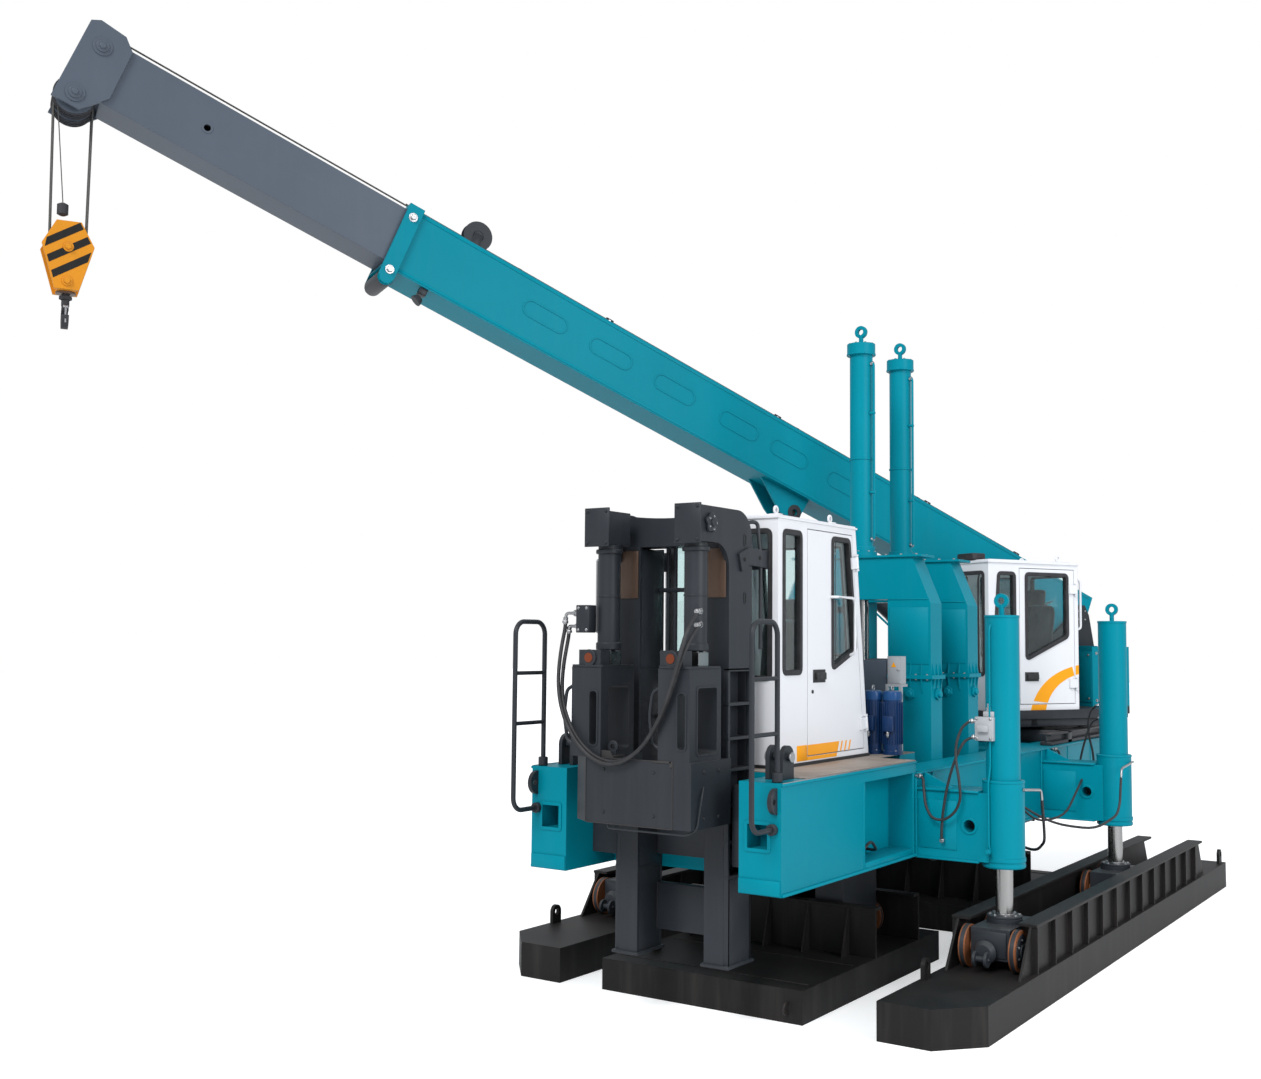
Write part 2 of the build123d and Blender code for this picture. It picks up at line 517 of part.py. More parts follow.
def side_barrels():
    """The two short press cylinders hung from the mast's crosshead."""
    foot = HEAD_FOOT - SIDE_CYL_L
    with BuildPart() as barrels:
        for x in (-SIDE_CYL_X, SIDE_CYL_X):
            bar_z(x, SIDE_CYL_Y, (foot, HEAD_FOOT), SIDE_CYL_R)
            bar_z(x, SIDE_CYL_Y, (foot - 5, HEAD_FOOT - SIDE_BORE_END), SIDE_ROD_R + 1, mode=Mode.SUBTRACT)
    return apart(barrels)


def side_rods():
    """The rods that push the front carriage down."""
    with BuildPart() as rods:
        for x in (-SIDE_CYL_X, SIDE_CYL_X):
            bar_z(x, SIDE_CYL_Y, (POST_TOP - ROD_SEAT, HEAD_FOOT - SIDE_BORE_END - 30), SIDE_ROD_R)
            block((x - CLEVIS_HALF, x + CLEVIS_HALF), (SIDE_CYL_Y - CLEVIS_HALF, SIDE_CYL_Y + CLEVIS_HALF),
                  (POST_TOP, POST_TOP + CLEVIS_H))
    return apart(rods)


def rounded_cut(plane, along, up, size, depth):
    """Cuts a slot with rounded corners through a solid, from a plane along its normal."""
    with BuildSketch(plane) as outline:
        with Locations((along, up)):
            RectangleRounded(size[0], size[1], SLOT_ROUND)
    extrude(outline.sketch, amount=depth, mode=Mode.SUBTRACT)


def carriage():
    """The front clamp: a skirt box open down its middle, under two posts with rounded slots."""
    cut_x, cut_y = SKIRT_CORNER
    halves = [[(-POST_IN, CARRIAGE_BACK), (-SKIRT_HALF, CARRIAGE_BACK), (-SKIRT_HALF, CARRIAGE_FRONT + cut_y),
               (-SKIRT_HALF + cut_x, CARRIAGE_FRONT), (-POST_IN, CARRIAGE_FRONT)],
              [(POST_IN, CARRIAGE_FRONT), (SKIRT_HALF, CARRIAGE_FRONT), (SKIRT_HALF, CARRIAGE_BACK),
               (POST_IN, CARRIAGE_BACK)]]
    skirts = sheets([(Plane.XY.offset(SKIRT_FOOT), half, SKIRT_TOP - SKIRT_FOOT) for half in halves])
    bridge = blocks([((-POST_IN, POST_IN), (CARRIAGE_FRONT, CARRIAGE_FRONT + 40), (SKIRT_FOOT, SKIRT_TOP))])
    slot_y, slot_z, tall = (SIDE_SLOT[0] + SIDE_SLOT[1]) / 2, (SLOT_Z[0] + SLOT_Z[1]) / 2, SLOT_Z[1] - SLOT_Z[0]
    with BuildPart() as posts:
        for side in (-1, 1):
            block((side * POST_IN, side * POST_OUT), (CARRIAGE_FRONT, POST_BACK), (SKIRT_TOP, POST_TOP))
        rounded_cut(side_plane(-POST_OUT - 5), slot_y, slot_z, (SIDE_SLOT[1] - SIDE_SLOT[0], tall), 2 * POST_OUT + 10)
        for left in (-POST_OUT, POST_IN):
            rounded_cut(front_plane(SIDE_SLOT[0] + 5), left + FRONT_SLOT_X, slot_z, (FRONT_SLOT, tall - 60), 110)
        for side in (-1, 1):
            bar_z(side * SIDE_CYL_X, SIDE_CYL_Y, (POST_TOP - ROD_SEAT, POST_TOP + 5), SIDE_ROD_R, mode=Mode.SUBTRACT)
    knobs = blocks([((side * KNOB_X[0], side * KNOB_X[1]), (CARRIAGE_FRONT + 5, CARRIAGE_FRONT + 110),
                     (POST_TOP, POST_TOP + KNOB_H)) for side in (-1, 1)])
    return apart(*skirts, *bridge, posts, *knobs)


def handrails():
    """The bent tube rails standing at the front of each front beam."""
    with BuildPart() as rails:
        for side in (-1, 1):
            x = side * 950
            path_points = [(x, FRAME_FRONT, 1420), (x, -3985, 1420), (x, -3985, 2730), (x, -3660, 2730),
                           (x, -3660, FRAME_TOP)]
            with BuildLine() as path:
                FilletPolyline(*path_points, radius=90)
            with BuildSketch(Plane(path.line @ 0, z_dir=path.line % 0)):
                Circle(17)
            sweep(path=path.line)
            for z in (2020, 2370):
                bar_y(x, (-3985, -3660), z, 14)
    return apart(rails)


# ---- hydraulic hoses, held by their fittings at both ends ----

FRONT_HOSES = (
    [(-653, -3800, 2735), (-657, -3806, 2670), (-660, -3830, 2580), (-648, -3870, 2470), (-618, -3925, 2330),
     (-565, -3972, 2190), (-490, -4001, 2050), (-400, -4008, 1930), (-285, -4008, 1832), (-145, -4008, 1782),
     (5, -4008, 1812), (150, -4008, 1918), (262, -4008, 2075), (340, -4010, 2235), (398, -4014, 2395),
     (436, -4010, 2530), (455, -3970, 2655), (455, -3890, 2745), (450, -3815, 2800)],
    [(-640, -3775, 2690), (-645, -3778, 2620), (-646, -3800, 2540), (-632, -3845, 2440), (-600, -3903, 2305),
     (-548, -3956, 2172), (-475, -3978, 2040), (-388, -3978, 1925), (-278, -3978, 1840), (-142, -3978, 1798),
     (5, -3978, 1825), (140, -3978, 1925), (248, -3978, 2075), (325, -3979, 2225), (388, -3984, 2380),
     (430, -3979, 2500), (452, -3935, 2600), (457, -3865, 2670), (456, -3800, 2712)])
LEG_HOSES = (
    [(1438, -1600, 2026), (1384, -1618, 1981), (1346, -1640, 1869), (1348, -1660, 1737), (1380, -1672, 1594),
     (1390, -1672, 1449), (1344, -1672, 1351), (1258, -1672, 1290), (1165, -1672, 1296), (1110, -1664, 1383),
     (1088, -1640, 1495), (1070, -1614, 1597), (1007, -1613, 1598)],
    [(1461, -1600, 1909), (1400, -1612, 1880), (1350, -1628, 1785), (1300, -1640, 1640), (1262, -1646, 1480),
     (1240, -1650, 1330), (1231, -1651, 1215), (1229, -1648, 1140), (1229, -1602, 1138)])
FRONT_HOSE_R, LEG_HOSE_R = 13, 10


def hose(name, points, r):
    """A round hose along a route, in which each corner's arc is as large as its two runs allow."""
    radii = []
    for start, corner, end in zip(points, points[1:], points[2:]):
        near, far = Vector(*corner) - Vector(*start), Vector(*end) - Vector(*corner)
        half_turn = math.radians(near.get_angle(far)) / 2
        radii.append(0.45 * min(near.length, far.length) / math.tan(half_turn))
    with BuildPart() as tube:
        with BuildLine() as path:
            FilletPolyline(*points, radius=radii)
        with BuildSketch(Plane(path.line @ 0, z_dir=path.line % 0)):
            Circle(r)
        sweep(path=path.line)
    length = path.wires()[0].length
    print(name, "length", round(length), "radii", [round(radius) for radius in radii])
    print(name, "volume over section times length", round(tube.part.volume / (math.pi * r * r * length), 3))
    return tube


def front_hoses():
    """The pair of hoses that hang in a loop between the front press cylinders."""
    return apart(*[hose(f"front hose {n}", points, FRONT_HOSE_R) for n, points in enumerate(FRONT_HOSES)])


def leg_hoses():
    """The pair of hoses at each leg cylinder, from its valve to the frame."""
    pairs = []
    for side in (-1, 1):
        for end in (1, -1):
            for n, points in enumerate(LEG_HOSES):
                route = [(side * x, end * y, z) for x, y, z in points]
                pairs.append(hose(f"leg hose {n}", route, LEG_HOSE_R))
    return apart(*pairs)


# ---- door hinges ----

def hinge_leaf(spot):
    """Adds a door's knuckle round a pin, in a frame with the hinge axis along Z and X outward."""
    with Locations(spot * Location((0, -HINGE_REACH / 2, 0))):
        Box(10, HINGE_REACH, HINGE_H)
    with Locations(spot * Location((-HINGE_OUT / 2 - 1, -HINGE_REACH + 20, 0))):
        Box(HINGE_OUT - 2, 40, HINGE_H)
    with Locations(spot):
        Cylinder(HINGE_R, HINGE_H)
        Cylinder(HINGE_PIN_R + AXLE_FIT, HINGE_H + 10, mode=Mode.SUBTRACT)


def hinge_bracket(spot):
    """Adds a cab's pin and the two brackets that hold it, in the same frame as hinge_leaf."""
    with Locations(spot):
        Cylinder(HINGE_PIN_R, HINGE_H + 40)
    with Locations([spot * Location((-HINGE_OUT / 2 + 5, 0, end * (HINGE_H / 2 + 12))) for end in (-1, 1)]):
        Box(HINGE_OUT + 10, 26, 16)


def hinge_spots(axis, heights):
    """Gives the hinge frames along a door's axis at heights above its foot."""
    return [axis * Location((0, 0, z)) for z in heights]


# ---- press cab ----

def press_door_outline(gap):
    """The door's outline on the cab's side, made smaller by gap all round."""
    foot, head = CAB_FOOT + DOOR_SILL + gap, CAB_TOP - DOOR_HEAD - gap
    return [(PRESS_DOOR_FRONT + gap, foot), (rear_y(foot) - DOOR_POST - gap, foot),
            (rear_y(head) - DOOR_POST - gap, head), (PRESS_DOOR_FRONT + gap, head)]


NARROW_WINDOW = [(-2840, 2390), (-2600, 2390), (-2600, 3380), (-2840, 3380)]
DOOR_WINDOW = [(-2078, 2415), (-1700, 2550), (-1810, 3375), (-2078, 3375)]
REAR_WINDOW = [(-280, 2500), (430, 2500), (430, 3350), (-280, 3350)]
FRONT_WINDOW = [(-330, 2350), (480, 2350), (480, 3380), (-330, 3380)]


def rear_y(z):
    """Gives where the press cab's slanted back is at height z."""
    return CAB_REAR_FOOT + (z - CAB_FOOT) * (CAB_REAR_TOP - CAB_REAR_FOOT) / (CAB_TOP - CAB_FOOT)


def press_cab():
    """The press cab's panels, of one thickness, with its windows and doorway cut."""
    x, low, high = CAB_X, CAB_FOOT + WALL, CAB_TOP - WALL
    foot, head = CAB_FOOT + DOOR_SILL, CAB_TOP - DOOR_HEAD
    floor = [(CAB_FRONT, CAB_FOOT), (CAB_REAR_FOOT, CAB_FOOT), (rear_y(low), low), (CAB_FRONT, low)]
    roof = [(CAB_FRONT, high), (rear_y(high), high), (CAB_REAR_TOP, CAB_TOP), (CAB_FRONT, CAB_TOP)]
    side = [(CAB_FRONT, low), (rear_y(low), low), (rear_y(high), high), (CAB_FRONT, high)]
    fore = [(CAB_FRONT, low), (PRESS_DOOR_FRONT, low), (PRESS_DOOR_FRONT, high), (CAB_FRONT, high)]
    back = [(rear_y(low) - WALL, low), (rear_y(low), low), (rear_y(high), high), (rear_y(high) - WALL, high)]
    sill = [(PRESS_DOOR_FRONT, low), (rear_y(low), low), (rear_y(foot), foot), (PRESS_DOOR_FRONT, foot)]
    lintel = [(PRESS_DOOR_FRONT, head), (rear_y(head), head), (rear_y(high), high), (PRESS_DOOR_FRONT, high)]
    post = [(rear_y(foot) - DOOR_POST, foot), (rear_y(foot), foot), (rear_y(head), head),
            (rear_y(head) - DOOR_POST, head)]
    plain = sheets([(side_plane(x[0]), floor, x[1] - x[0]), (side_plane(x[0]), roof, x[1] - x[0]),
                    (side_plane(x[1] - WALL), sill, WALL), (side_plane(x[1] - WALL), lintel, WALL)])
    with BuildPart() as sides:
        sheet(side_plane(x[0]), side, WALL)
        sheet(side_plane(x[1] - WALL), fore, WALL)
        for start in (x[0] - 5, x[1] - WALL - 5):
            sheet(side_plane(start), NARROW_WINDOW, WALL + 10, mode=Mode.SUBTRACT)
        sheet(side_plane(x[0] - 5), DOOR_WINDOW, WALL + 10, mode=Mode.SUBTRACT)
    with BuildPart() as front:
        block((x[0] + WALL, x[1] - WALL), (CAB_FRONT, CAB_FRONT + WALL), (low, high))
        sheet(front_plane(CAB_FRONT + WALL + 5), FRONT_WINDOW, WALL + 10, mode=Mode.SUBTRACT)
    with BuildPart() as rear:
        sheet(side_plane(x[0] + WALL), back, x[1] - x[0] - 2 * WALL)
        sheet(front_plane(CAB_REAR_FOOT + 50), REAR_WINDOW, 400, mode=Mode.SUBTRACT)
    with BuildPart() as hinge_post:
        sheet(side_plane(x[1] - WALL), post, WALL)
        for spot in hinge_spots(PRESS_HINGE, PRESS_HINGE_Z):
            hinge_bracket(spot)
    return apart(*plain, sides, front, rear, hinge_post)


def press_cab_glass():
    """The fixed panes of the press cab, the rear one slanted as its wall is."""
    mid = WALL / 2
    (left, sill), _, (right, head), _ = REAR_WINDOW
    behind = [(rear_y(sill) - mid - 3, sill), (rear_y(sill) - mid + 3, sill), (rear_y(head) - mid + 3, head),
              (rear_y(head) - mid - 3, head)]
    with BuildPart() as panes:
        for x in (CAB_X[0] + mid - 3, CAB_X[1] - mid - 3):
            sheet(side_plane(x), NARROW_WINDOW, 6)
        sheet(side_plane(CAB_X[0] + mid - 3), DOOR_WINDOW, 6)
        sheet(front_plane(CAB_FRONT + mid + 3), FRONT_WINDOW, 6)
        sheet(side_plane(left), behind, right - left)
    return apart(panes)


def press_door():
    """The press cab's door with its window cut, its handle and its hinge knuckles."""
    with BuildPart() as door:
        sheet(side_plane(CAB_X[1] - WALL), press_door_outline(DOOR_GAP), WALL)
        sheet(side_plane(CAB_X[1] - WALL - 5), DOOR_WINDOW, WALL + 10, mode=Mode.SUBTRACT)
        block((CAB_X[1], CAB_X[1] + 25), (-2370, -2240), (2332, 2372))
        for spot in hinge_spots(PRESS_HINGE, PRESS_HINGE_Z):
            hinge_leaf(spot)
    return apart(door)


def press_door_glass():
    """The pane in the press cab's door."""
    with BuildPart() as pane:
        sheet(side_plane(CAB_X[1] - WALL / 2 - 3), DOOR_WINDOW, 6)
    return apart(pane)


def seat(spot, x, y, z):
    """A driver's seat on a pedestal, facing -Y, with its feet at z."""
    rows = (((x - 130, x + 130), (y - 130, y + 150), (z, z + 330)),
            ((x - 240, x + 240), (y - 260, y + 290), (z + 330, z + 450)),
            ((x - 230, x + 230), (y + 180, y + 290), (z + 450, z + 1000)),
            ((x - 130, x + 130), (y + 190, y + 280), (z + 1000, z + 1180)))
    return apart(*blocks(rows, spot))


def power_pack():
    """The oil tank and the electrical cabinet behind the press cab."""
    z = FRAME_TOP + DECK_T
    rows = (((-640, 150), (-1380, -960), (z, z + 760)),
            ((514, 627), (-1020, -910), (z + 547, z + 774)),
            ((500, 641), (-1030, -910), (z + 527, z + 547)),
            ((500, 525), (-1030, -1005), (z, z + 527)),
            ((616, 641), (-1030, -1005), (z, z + 527)))
    return apart(*blocks(rows))


def motors():
    """The two upright pump motors."""
    z = FRAME_TOP + DECK_T
    with BuildPart() as pair:
        for x in MOTOR_X:
            bar_z(x, MOTOR_Y, (z, z + 30), MOTOR_R)
            bar_z(x, MOTOR_Y, (z, z + 440), MOTOR_R - 6)
    return apart(pair)


# ---- crane ----

def turret():
    """The crane's deck with the boom's cheeks, the luffing cylinder's lugs and the hoist winch."""
    cheek = [(-350, TURRET_TOP), (TAIL_Y[1], TURRET_TOP), (PIVOT_Y + 130, PIVOT_Z), (PIVOT_Y + 70, PIVOT_Z + 110),
             (PIVOT_Y - 70, PIVOT_Z + 110), (PIVOT_Y - 130, PIVOT_Z), (-100, TURRET_TOP + 260)]
    high = (TURRET_FOOT, TURRET_TOP)
    deck = blocks([(TURRET_X, TURRET_Y, high), ((-TAIL_X, TAIL_X), (TURRET_Y[1], TAIL_Y[1]), high)], CRANE)
    with BuildPart() as lugs:
        with Locations(CRANE):
            for side in (-1, 1):
                lug_x = (side * 105, side * 130)
                block(lug_x, (LUFF_BASE[0] - 90, LUFF_BASE[0] + 90), (TURRET_TOP, LUFF_BASE[1]))
                bar_x(lug_x, LUFF_BASE[0], LUFF_BASE[1], 90)
            bar_x((-400, 400), LUFF_BASE[0], LUFF_BASE[1], LUFF_PIN_R, mode=Mode.SUBTRACT)
    with BuildPart() as winch:
        with Locations(CRANE):
            bar_x((-CHEEK_IN, CHEEK_IN), 380, 2230, 60)
            bar_x((-180, 180), 380, 2230, 150)
    with BuildPart() as cheeks:
        for start in (-CHEEK_IN - CHEEK_T, CHEEK_IN):
            sheet(place(CRANE, side_plane(start)), cheek, CHEEK_T)
        with Locations(CRANE):
            bar_x((-400, 400), PIVOT_Y, PIVOT_Z, PIVOT_R, mode=Mode.SUBTRACT)
    return apart(*deck, lugs, winch, cheeks)


def turret_pins():
    """The boom's pivot pin and the luffing cylinder's lower pin, held in the turret."""
    with BuildPart() as pins:
        with Locations(CRANE):
            bar_x((-CHEEK_IN - CHEEK_T - 15, CHEEK_IN + CHEEK_T + 15), PIVOT_Y, PIVOT_Z, PIVOT_R)
            bar_x((-145, 145), LUFF_BASE[0], LUFF_BASE[1], LUFF_PIN_R)
    return apart(pins)


def tail_box():
    """The ballast boxes at the turret's back."""
    rows = (((CHEEK_IN + CHEEK_T, TAIL_X), TAIL_Y, (TURRET_TOP, TAIL_TOP)),
            ((-TAIL_X, -CHEEK_IN - CHEEK_T), TAIL_Y, (TURRET_TOP, TAIL_TOP)),
            ((-CHEEK_IN, CHEEK_IN), (TAIL_Y[1] - 110, TAIL_Y[1]), (TURRET_TOP, TAIL_TOP - 90)))
    return apart(*blocks(rows, CRANE))


SMALL_PANE = [(-985, 2250), (-720, 2250), (-720, 3285), (-905, 3285)]
CRANE_DOOR_PANE = [(-552, 2455), (-30, 2677), (-30, 3285), (-552, 3285)]
CRANE_FRONT_PANE = [(400, 2300), (970, 2300), (970, 3290), (400, 3290)]


def crane_door_outline(gap):
    """The crane door's outline, made smaller by gap all round."""
    y, z = CRANE_DOOR_Y, (TURRET_TOP + DOOR_SILL, CRANE_CAB_TOP - DOOR_HEAD)
    return [(y[0] + gap, z[0] + gap), (y[1] - gap, z[0] + gap), (y[1] - gap, z[1] - gap), (y[0] + gap, z[1] - gap)]


def crane_cab():
    """The crane cab's panels with its windows and doorway cut."""
    x, y, door = CRANE_CAB_X, CRANE_CAB_Y, CRANE_DOOR_Y
    low, high = TURRET_TOP + WALL, CRANE_CAB_TOP - WALL
    foot, head = TURRET_TOP + DOOR_SILL, CRANE_CAB_TOP - DOOR_HEAD
    inner, wall_x = (x[0] + WALL, x[1] - WALL), (x[1] - WALL, x[1])
    rows = ((x, y, (TURRET_TOP, low)), (x, y, (high, CRANE_CAB_TOP)),
            (wall_x, (door[0], y[1]), (low, foot)), (wall_x, (door[0], y[1]), (head, high)))
    with BuildPart() as walls:
        with Locations(CRANE):
            block((x[0], x[0] + WALL), y, (low, high))
            block(wall_x, (y[0], door[0]), (low, high))
        for outline, start in ((SMALL_PANE, x[1] - WALL - 5), (SMALL_PANE, x[0] - 5), (CRANE_DOOR_PANE, x[0] - 5)):
            sheet(place(CRANE, side_plane(start)), outline, WALL + 10, mode=Mode.SUBTRACT)
    with BuildPart() as ends:
        with Locations(CRANE):
            block(inner, (y[0], y[0] + WALL), (low, high))
            block(inner, (y[1] - WALL, y[1]), (low, high))
        for end in (y[0] + WALL + 5, y[1] + 5):
            sheet(place(CRANE, front_plane(end)), CRANE_FRONT_PANE, WALL + 10, mode=Mode.SUBTRACT)
    with BuildPart() as hinge_post:
        with Locations(CRANE):
            block(wall_x, (door[1], y[1]), (foot, head))
        for spot in hinge_spots(CRANE_HINGE, CRANE_HINGE_Z):
            hinge_bracket(spot)
    return apart(*blocks(rows, CRANE), walls, ends, hinge_post)


def crane_cab_glass():
    """The fixed panes of the crane cab."""
    x, y, mid = CRANE_CAB_X, CRANE_CAB_Y, WALL / 2
    with BuildPart() as panes:
        for outline, start in ((SMALL_PANE, x[1] - mid - 3), (SMALL_PANE, x[0] + mid - 3),
                               (CRANE_DOOR_PANE, x[0] + mid - 3)):
            sheet(place(CRANE, side_plane(start)), outline, 6)
        sheet(place(CRANE, front_plane(y[0] + mid + 3)), CRANE_FRONT_PANE, 6)
        sheet(place(CRANE, front_plane(y[1] - mid + 3)), CRANE_FRONT_PANE, 6)
    return apart(panes)


def crane_door():
    """The crane cab's door with its handle and its hinge knuckles."""
    with BuildPart() as door:
        sheet(place(CRANE, side_plane(CRANE_CAB_X[1] - WALL)), crane_door_outline(DOOR_GAP), WALL)
        sheet(place(CRANE, side_plane(CRANE_CAB_X[1] - WALL - 5)), CRANE_DOOR_PANE, WALL + 10, mode=Mode.SUBTRACT)
        with Locations(CRANE):
            block((CRANE_CAB_X[1], CRANE_CAB_X[1] + 25), (-560, -430), (2250, 2290))
        for spot in hinge_spots(CRANE_HINGE, CRANE_HINGE_Z):
            hinge_leaf(spot)
    return apart(door)


def crane_door_glass():
    """The pane in the crane cab's door."""
    with BuildPart() as pane:
        sheet(place(CRANE, side_plane(CRANE_CAB_X[1] - WALL / 2 - 3)), CRANE_DOOR_PANE, 6)
    return apart(pane)


def boom_outer():
    """The hollow outer boom, with its pivot bore, the luffing bracket under it and its collar."""
    half, wall, tip, (low, high) = BOOM_HALF, BOOM_WALL, -BOOM_TIP, BOOM_Z
    eye_y, eye_z, outer = -LUFF_EYE[0], -LUFF_EYE[1], half + COLLAR_OUT
    ear = [(eye_y + 110, low), (eye_y + 70, eye_z - 35), (eye_y - 120, eye_z - 75), (eye_y - 200, eye_z - 35),
           (eye_y - 480, low)]
    plate = [(tip, high + COLLAR_OUT), (tip, COLLAR_FOOT + COLLAR_ROUND), (tip + 30, COLLAR_FOOT + 10),
             (tip + 70, COLLAR_FOOT), (tip + 110, COLLAR_FOOT + 10), (tip + COLLAR_LEN, COLLAR_FOOT + COLLAR_ROUND),
             (tip + COLLAR_LEN, high + COLLAR_OUT)]
    with BuildPart() as tube:
        with Locations(BOOM):
            block((-half, half), (BOOM_ROOT, tip), (low, high))
            block((-half + wall, half - wall), (-200, tip - 5), (low + wall, high - wall), mode=Mode.SUBTRACT)
            bar_x((-300, 300), 0, 0, PIVOT_R + AXLE_FIT, mode=Mode.SUBTRACT)
    with BuildPart() as collar:
        for start in (-outer, half):
            sheet(place(BOOM, side_plane(start)), plate, COLLAR_OUT)
        with Locations(BOOM):
            block((-half, half), (tip, tip + COLLAR_LEN), (high, high + COLLAR_OUT))
            bar_x((-half, half), tip + 70, COLLAR_FOOT + 60, COLLAR_ROUND)
    with BuildPart() as ears:
        for start in (-130, 105):
            sheet(place(BOOM, side_plane(start)), ear, 25)
        with Locations(BOOM):
            for side in (-1, 1):
                bar_x((side * 105, side * 130), eye_y, eye_z, 80)
            bar_x((-200, 200), eye_y, eye_z, LUFF_PIN_R, mode=Mode.SUBTRACT)
    return apart(tube, collar, ears)


def boom_inner():
    """The boom section that slides out, with the head plates that carry the rope sheaves."""
    x, (low, high), wall, tip, head = INNER_X, INNER_Z, INNER_WALL, -INNER_TIP, -HEAD_TIP
    cheek = [(tip + 55, -200), (tip - 100, HEAD_Z[0]), (head, HEAD_Z[0]), (head, 305), (head + 65, HEAD_Z[1]),
             (tip - 45, 325), (tip + 47, 236)]
    with BuildPart() as tube:
        with Locations(BOOM):
            block((-x, x), (-INNER_ROOT, tip), (low, high))
            block((-x + wall, x - wall), (-INNER_ROOT + 5, tip + 40), (low + wall, high - wall), mode=Mode.SUBTRACT)
            bar_x((-x - 5, x + 5), -PORT_Y, 0, PORT_R, mode=Mode.SUBTRACT)
    cheeks = sheets([(place(BOOM, side_plane(start)), cheek, HEAD_PLATE_T) for start in (-x - HEAD_PLATE_T, x)])
    with BuildPart() as sheaves:
        with Locations(BOOM):
            for along, up in HEAD_PINS:
                bar_x((-x, x), -along, up, HEAD_PIN_R)
                for sheave_x in (-150, -75, 35, 110):
                    bar_x((sheave_x, sheave_x + 40), -along, up, SHEAVE_R)
    return apart(tube, *cheeks, sheaves)


def luff_barrel():
    """The luffing cylinder's barrel, drawn along its own line between the two pins."""
    with BuildPart() as barrel:
        with Locations(LUFF_LINE):
            bar_x((-100, 100), 0, 0, 70)
            bar_z(0, 0, (40, LUFF_BARREL_L), LUFF_BARREL_R)
            bar_z(0, 0, (LUFF_BORE_END, LUFF_BARREL_L + 5), LUFF_ROD_R + 1, mode=Mode.SUBTRACT)
            bar_x((-110, 110), 0, 0, LUFF_PIN_R + AXLE_FIT, mode=Mode.SUBTRACT)
    return apart(barrel)


def luff_rod():
    """The luffing cylinder's rod with its eye at the boom."""
    with BuildPart() as rod:
        with Locations(LUFF_LINE):
            bar_z(0, 0, (LUFF_BORE_END + LUFF_SPARE, LUFF_SPAN - 40), LUFF_ROD_R)
            bar_x((-95, 95), 0, LUFF_SPAN, 68)
            bar_x((-100, 100), 0, LUFF_SPAN, LUFF_PIN_R + AXLE_FIT, mode=Mode.SUBTRACT)
    return apart(rod)


EYE_FORWARD = LUFF_EYE[0] * math.cos(math.radians(LUFF)) + LUFF_EYE[1] * math.sin(math.radians(LUFF)) - PIVOT_Y
EYE_Z = PIVOT_Z + LUFF_EYE[0] * math.sin(math.radians(LUFF)) - LUFF_EYE[1] * math.cos(math.radians(LUFF))
LUFF_SPAN = math.hypot(EYE_FORWARD + LUFF_BASE[0], EYE_Z - LUFF_BASE[1])
LUFF_TILT = math.degrees(math.atan2(EYE_FORWARD + LUFF_BASE[0], EYE_Z - LUFF_BASE[1]))
LUFF_LINE = CRANE * Location((0, LUFF_BASE[0], LUFF_BASE[1]), (LUFF_TILT, 0, 0))
HOOK_TOP = (BOOM * Location((0, -HEAD_PINS[1][0], HEAD_PINS[1][1]))).position
HOOK = Location((HOOK_TOP.X, HOOK_TOP.Y, HOOK_TOP.Z), (0, 0, -SLEW))


def hook_block():
    """The hook block: two cheek plates round its sheaves and the hook's swivel."""
    top, foot, thick = -HOOK_DROP, -HOOK_DROP - BLOCK_H, CHEEK_X[1] - CHEEK_X[0]
    cheek = [(-BLOCK_END, top), (BLOCK_END, top), (BLOCK_HALF, top - BLOCK_SHOULDER), (BLOCK_END, foot),
             (-BLOCK_END, foot), (-BLOCK_HALF, top - BLOCK_SHOULDER)]
    plates = sheets([(place(HOOK, side_plane(start)), cheek, thick) for start in (-CHEEK_X[1], CHEEK_X[0])])
    across = (-CHEEK_X[0], CHEEK_X[0])
    swivel = blocks([(across, (-70, 70), (foot, foot + 90))], HOOK)
    with BuildPart() as sheaves:
        with Locations(HOOK):
            bar_x(across, 0, top - BLOCK_SHOULDER - 15, 45)
            for x in (-70, 30):
                bar_x((x, x + 40), 0, top - BLOCK_SHOULDER - 15, SHEAVE_R)
    return apart(*plates, *swivel, sheaves)


def hook():
    """The forged hook under its block, open to one side of the boom."""
    foot = -HOOK_DROP - BLOCK_H
    bend = foot - 100 - HOOK_RING
    with BuildPart() as forging:
        with Locations(HOOK):
            bar_z(0, 0, (foot - 110, foot), 30)
            bar_y(0, (-HOOK_T / 2, HOOK_T / 2), bend, HOOK_RING)
            bar_y(0, (-HOOK_T, HOOK_T), bend, HOOK_OPEN, mode=Mode.SUBTRACT)
            block((30, 140), (-HOOK_T, HOOK_T), (bend, bend + 80), mode=Mode.SUBTRACT)
    return apart(forging)


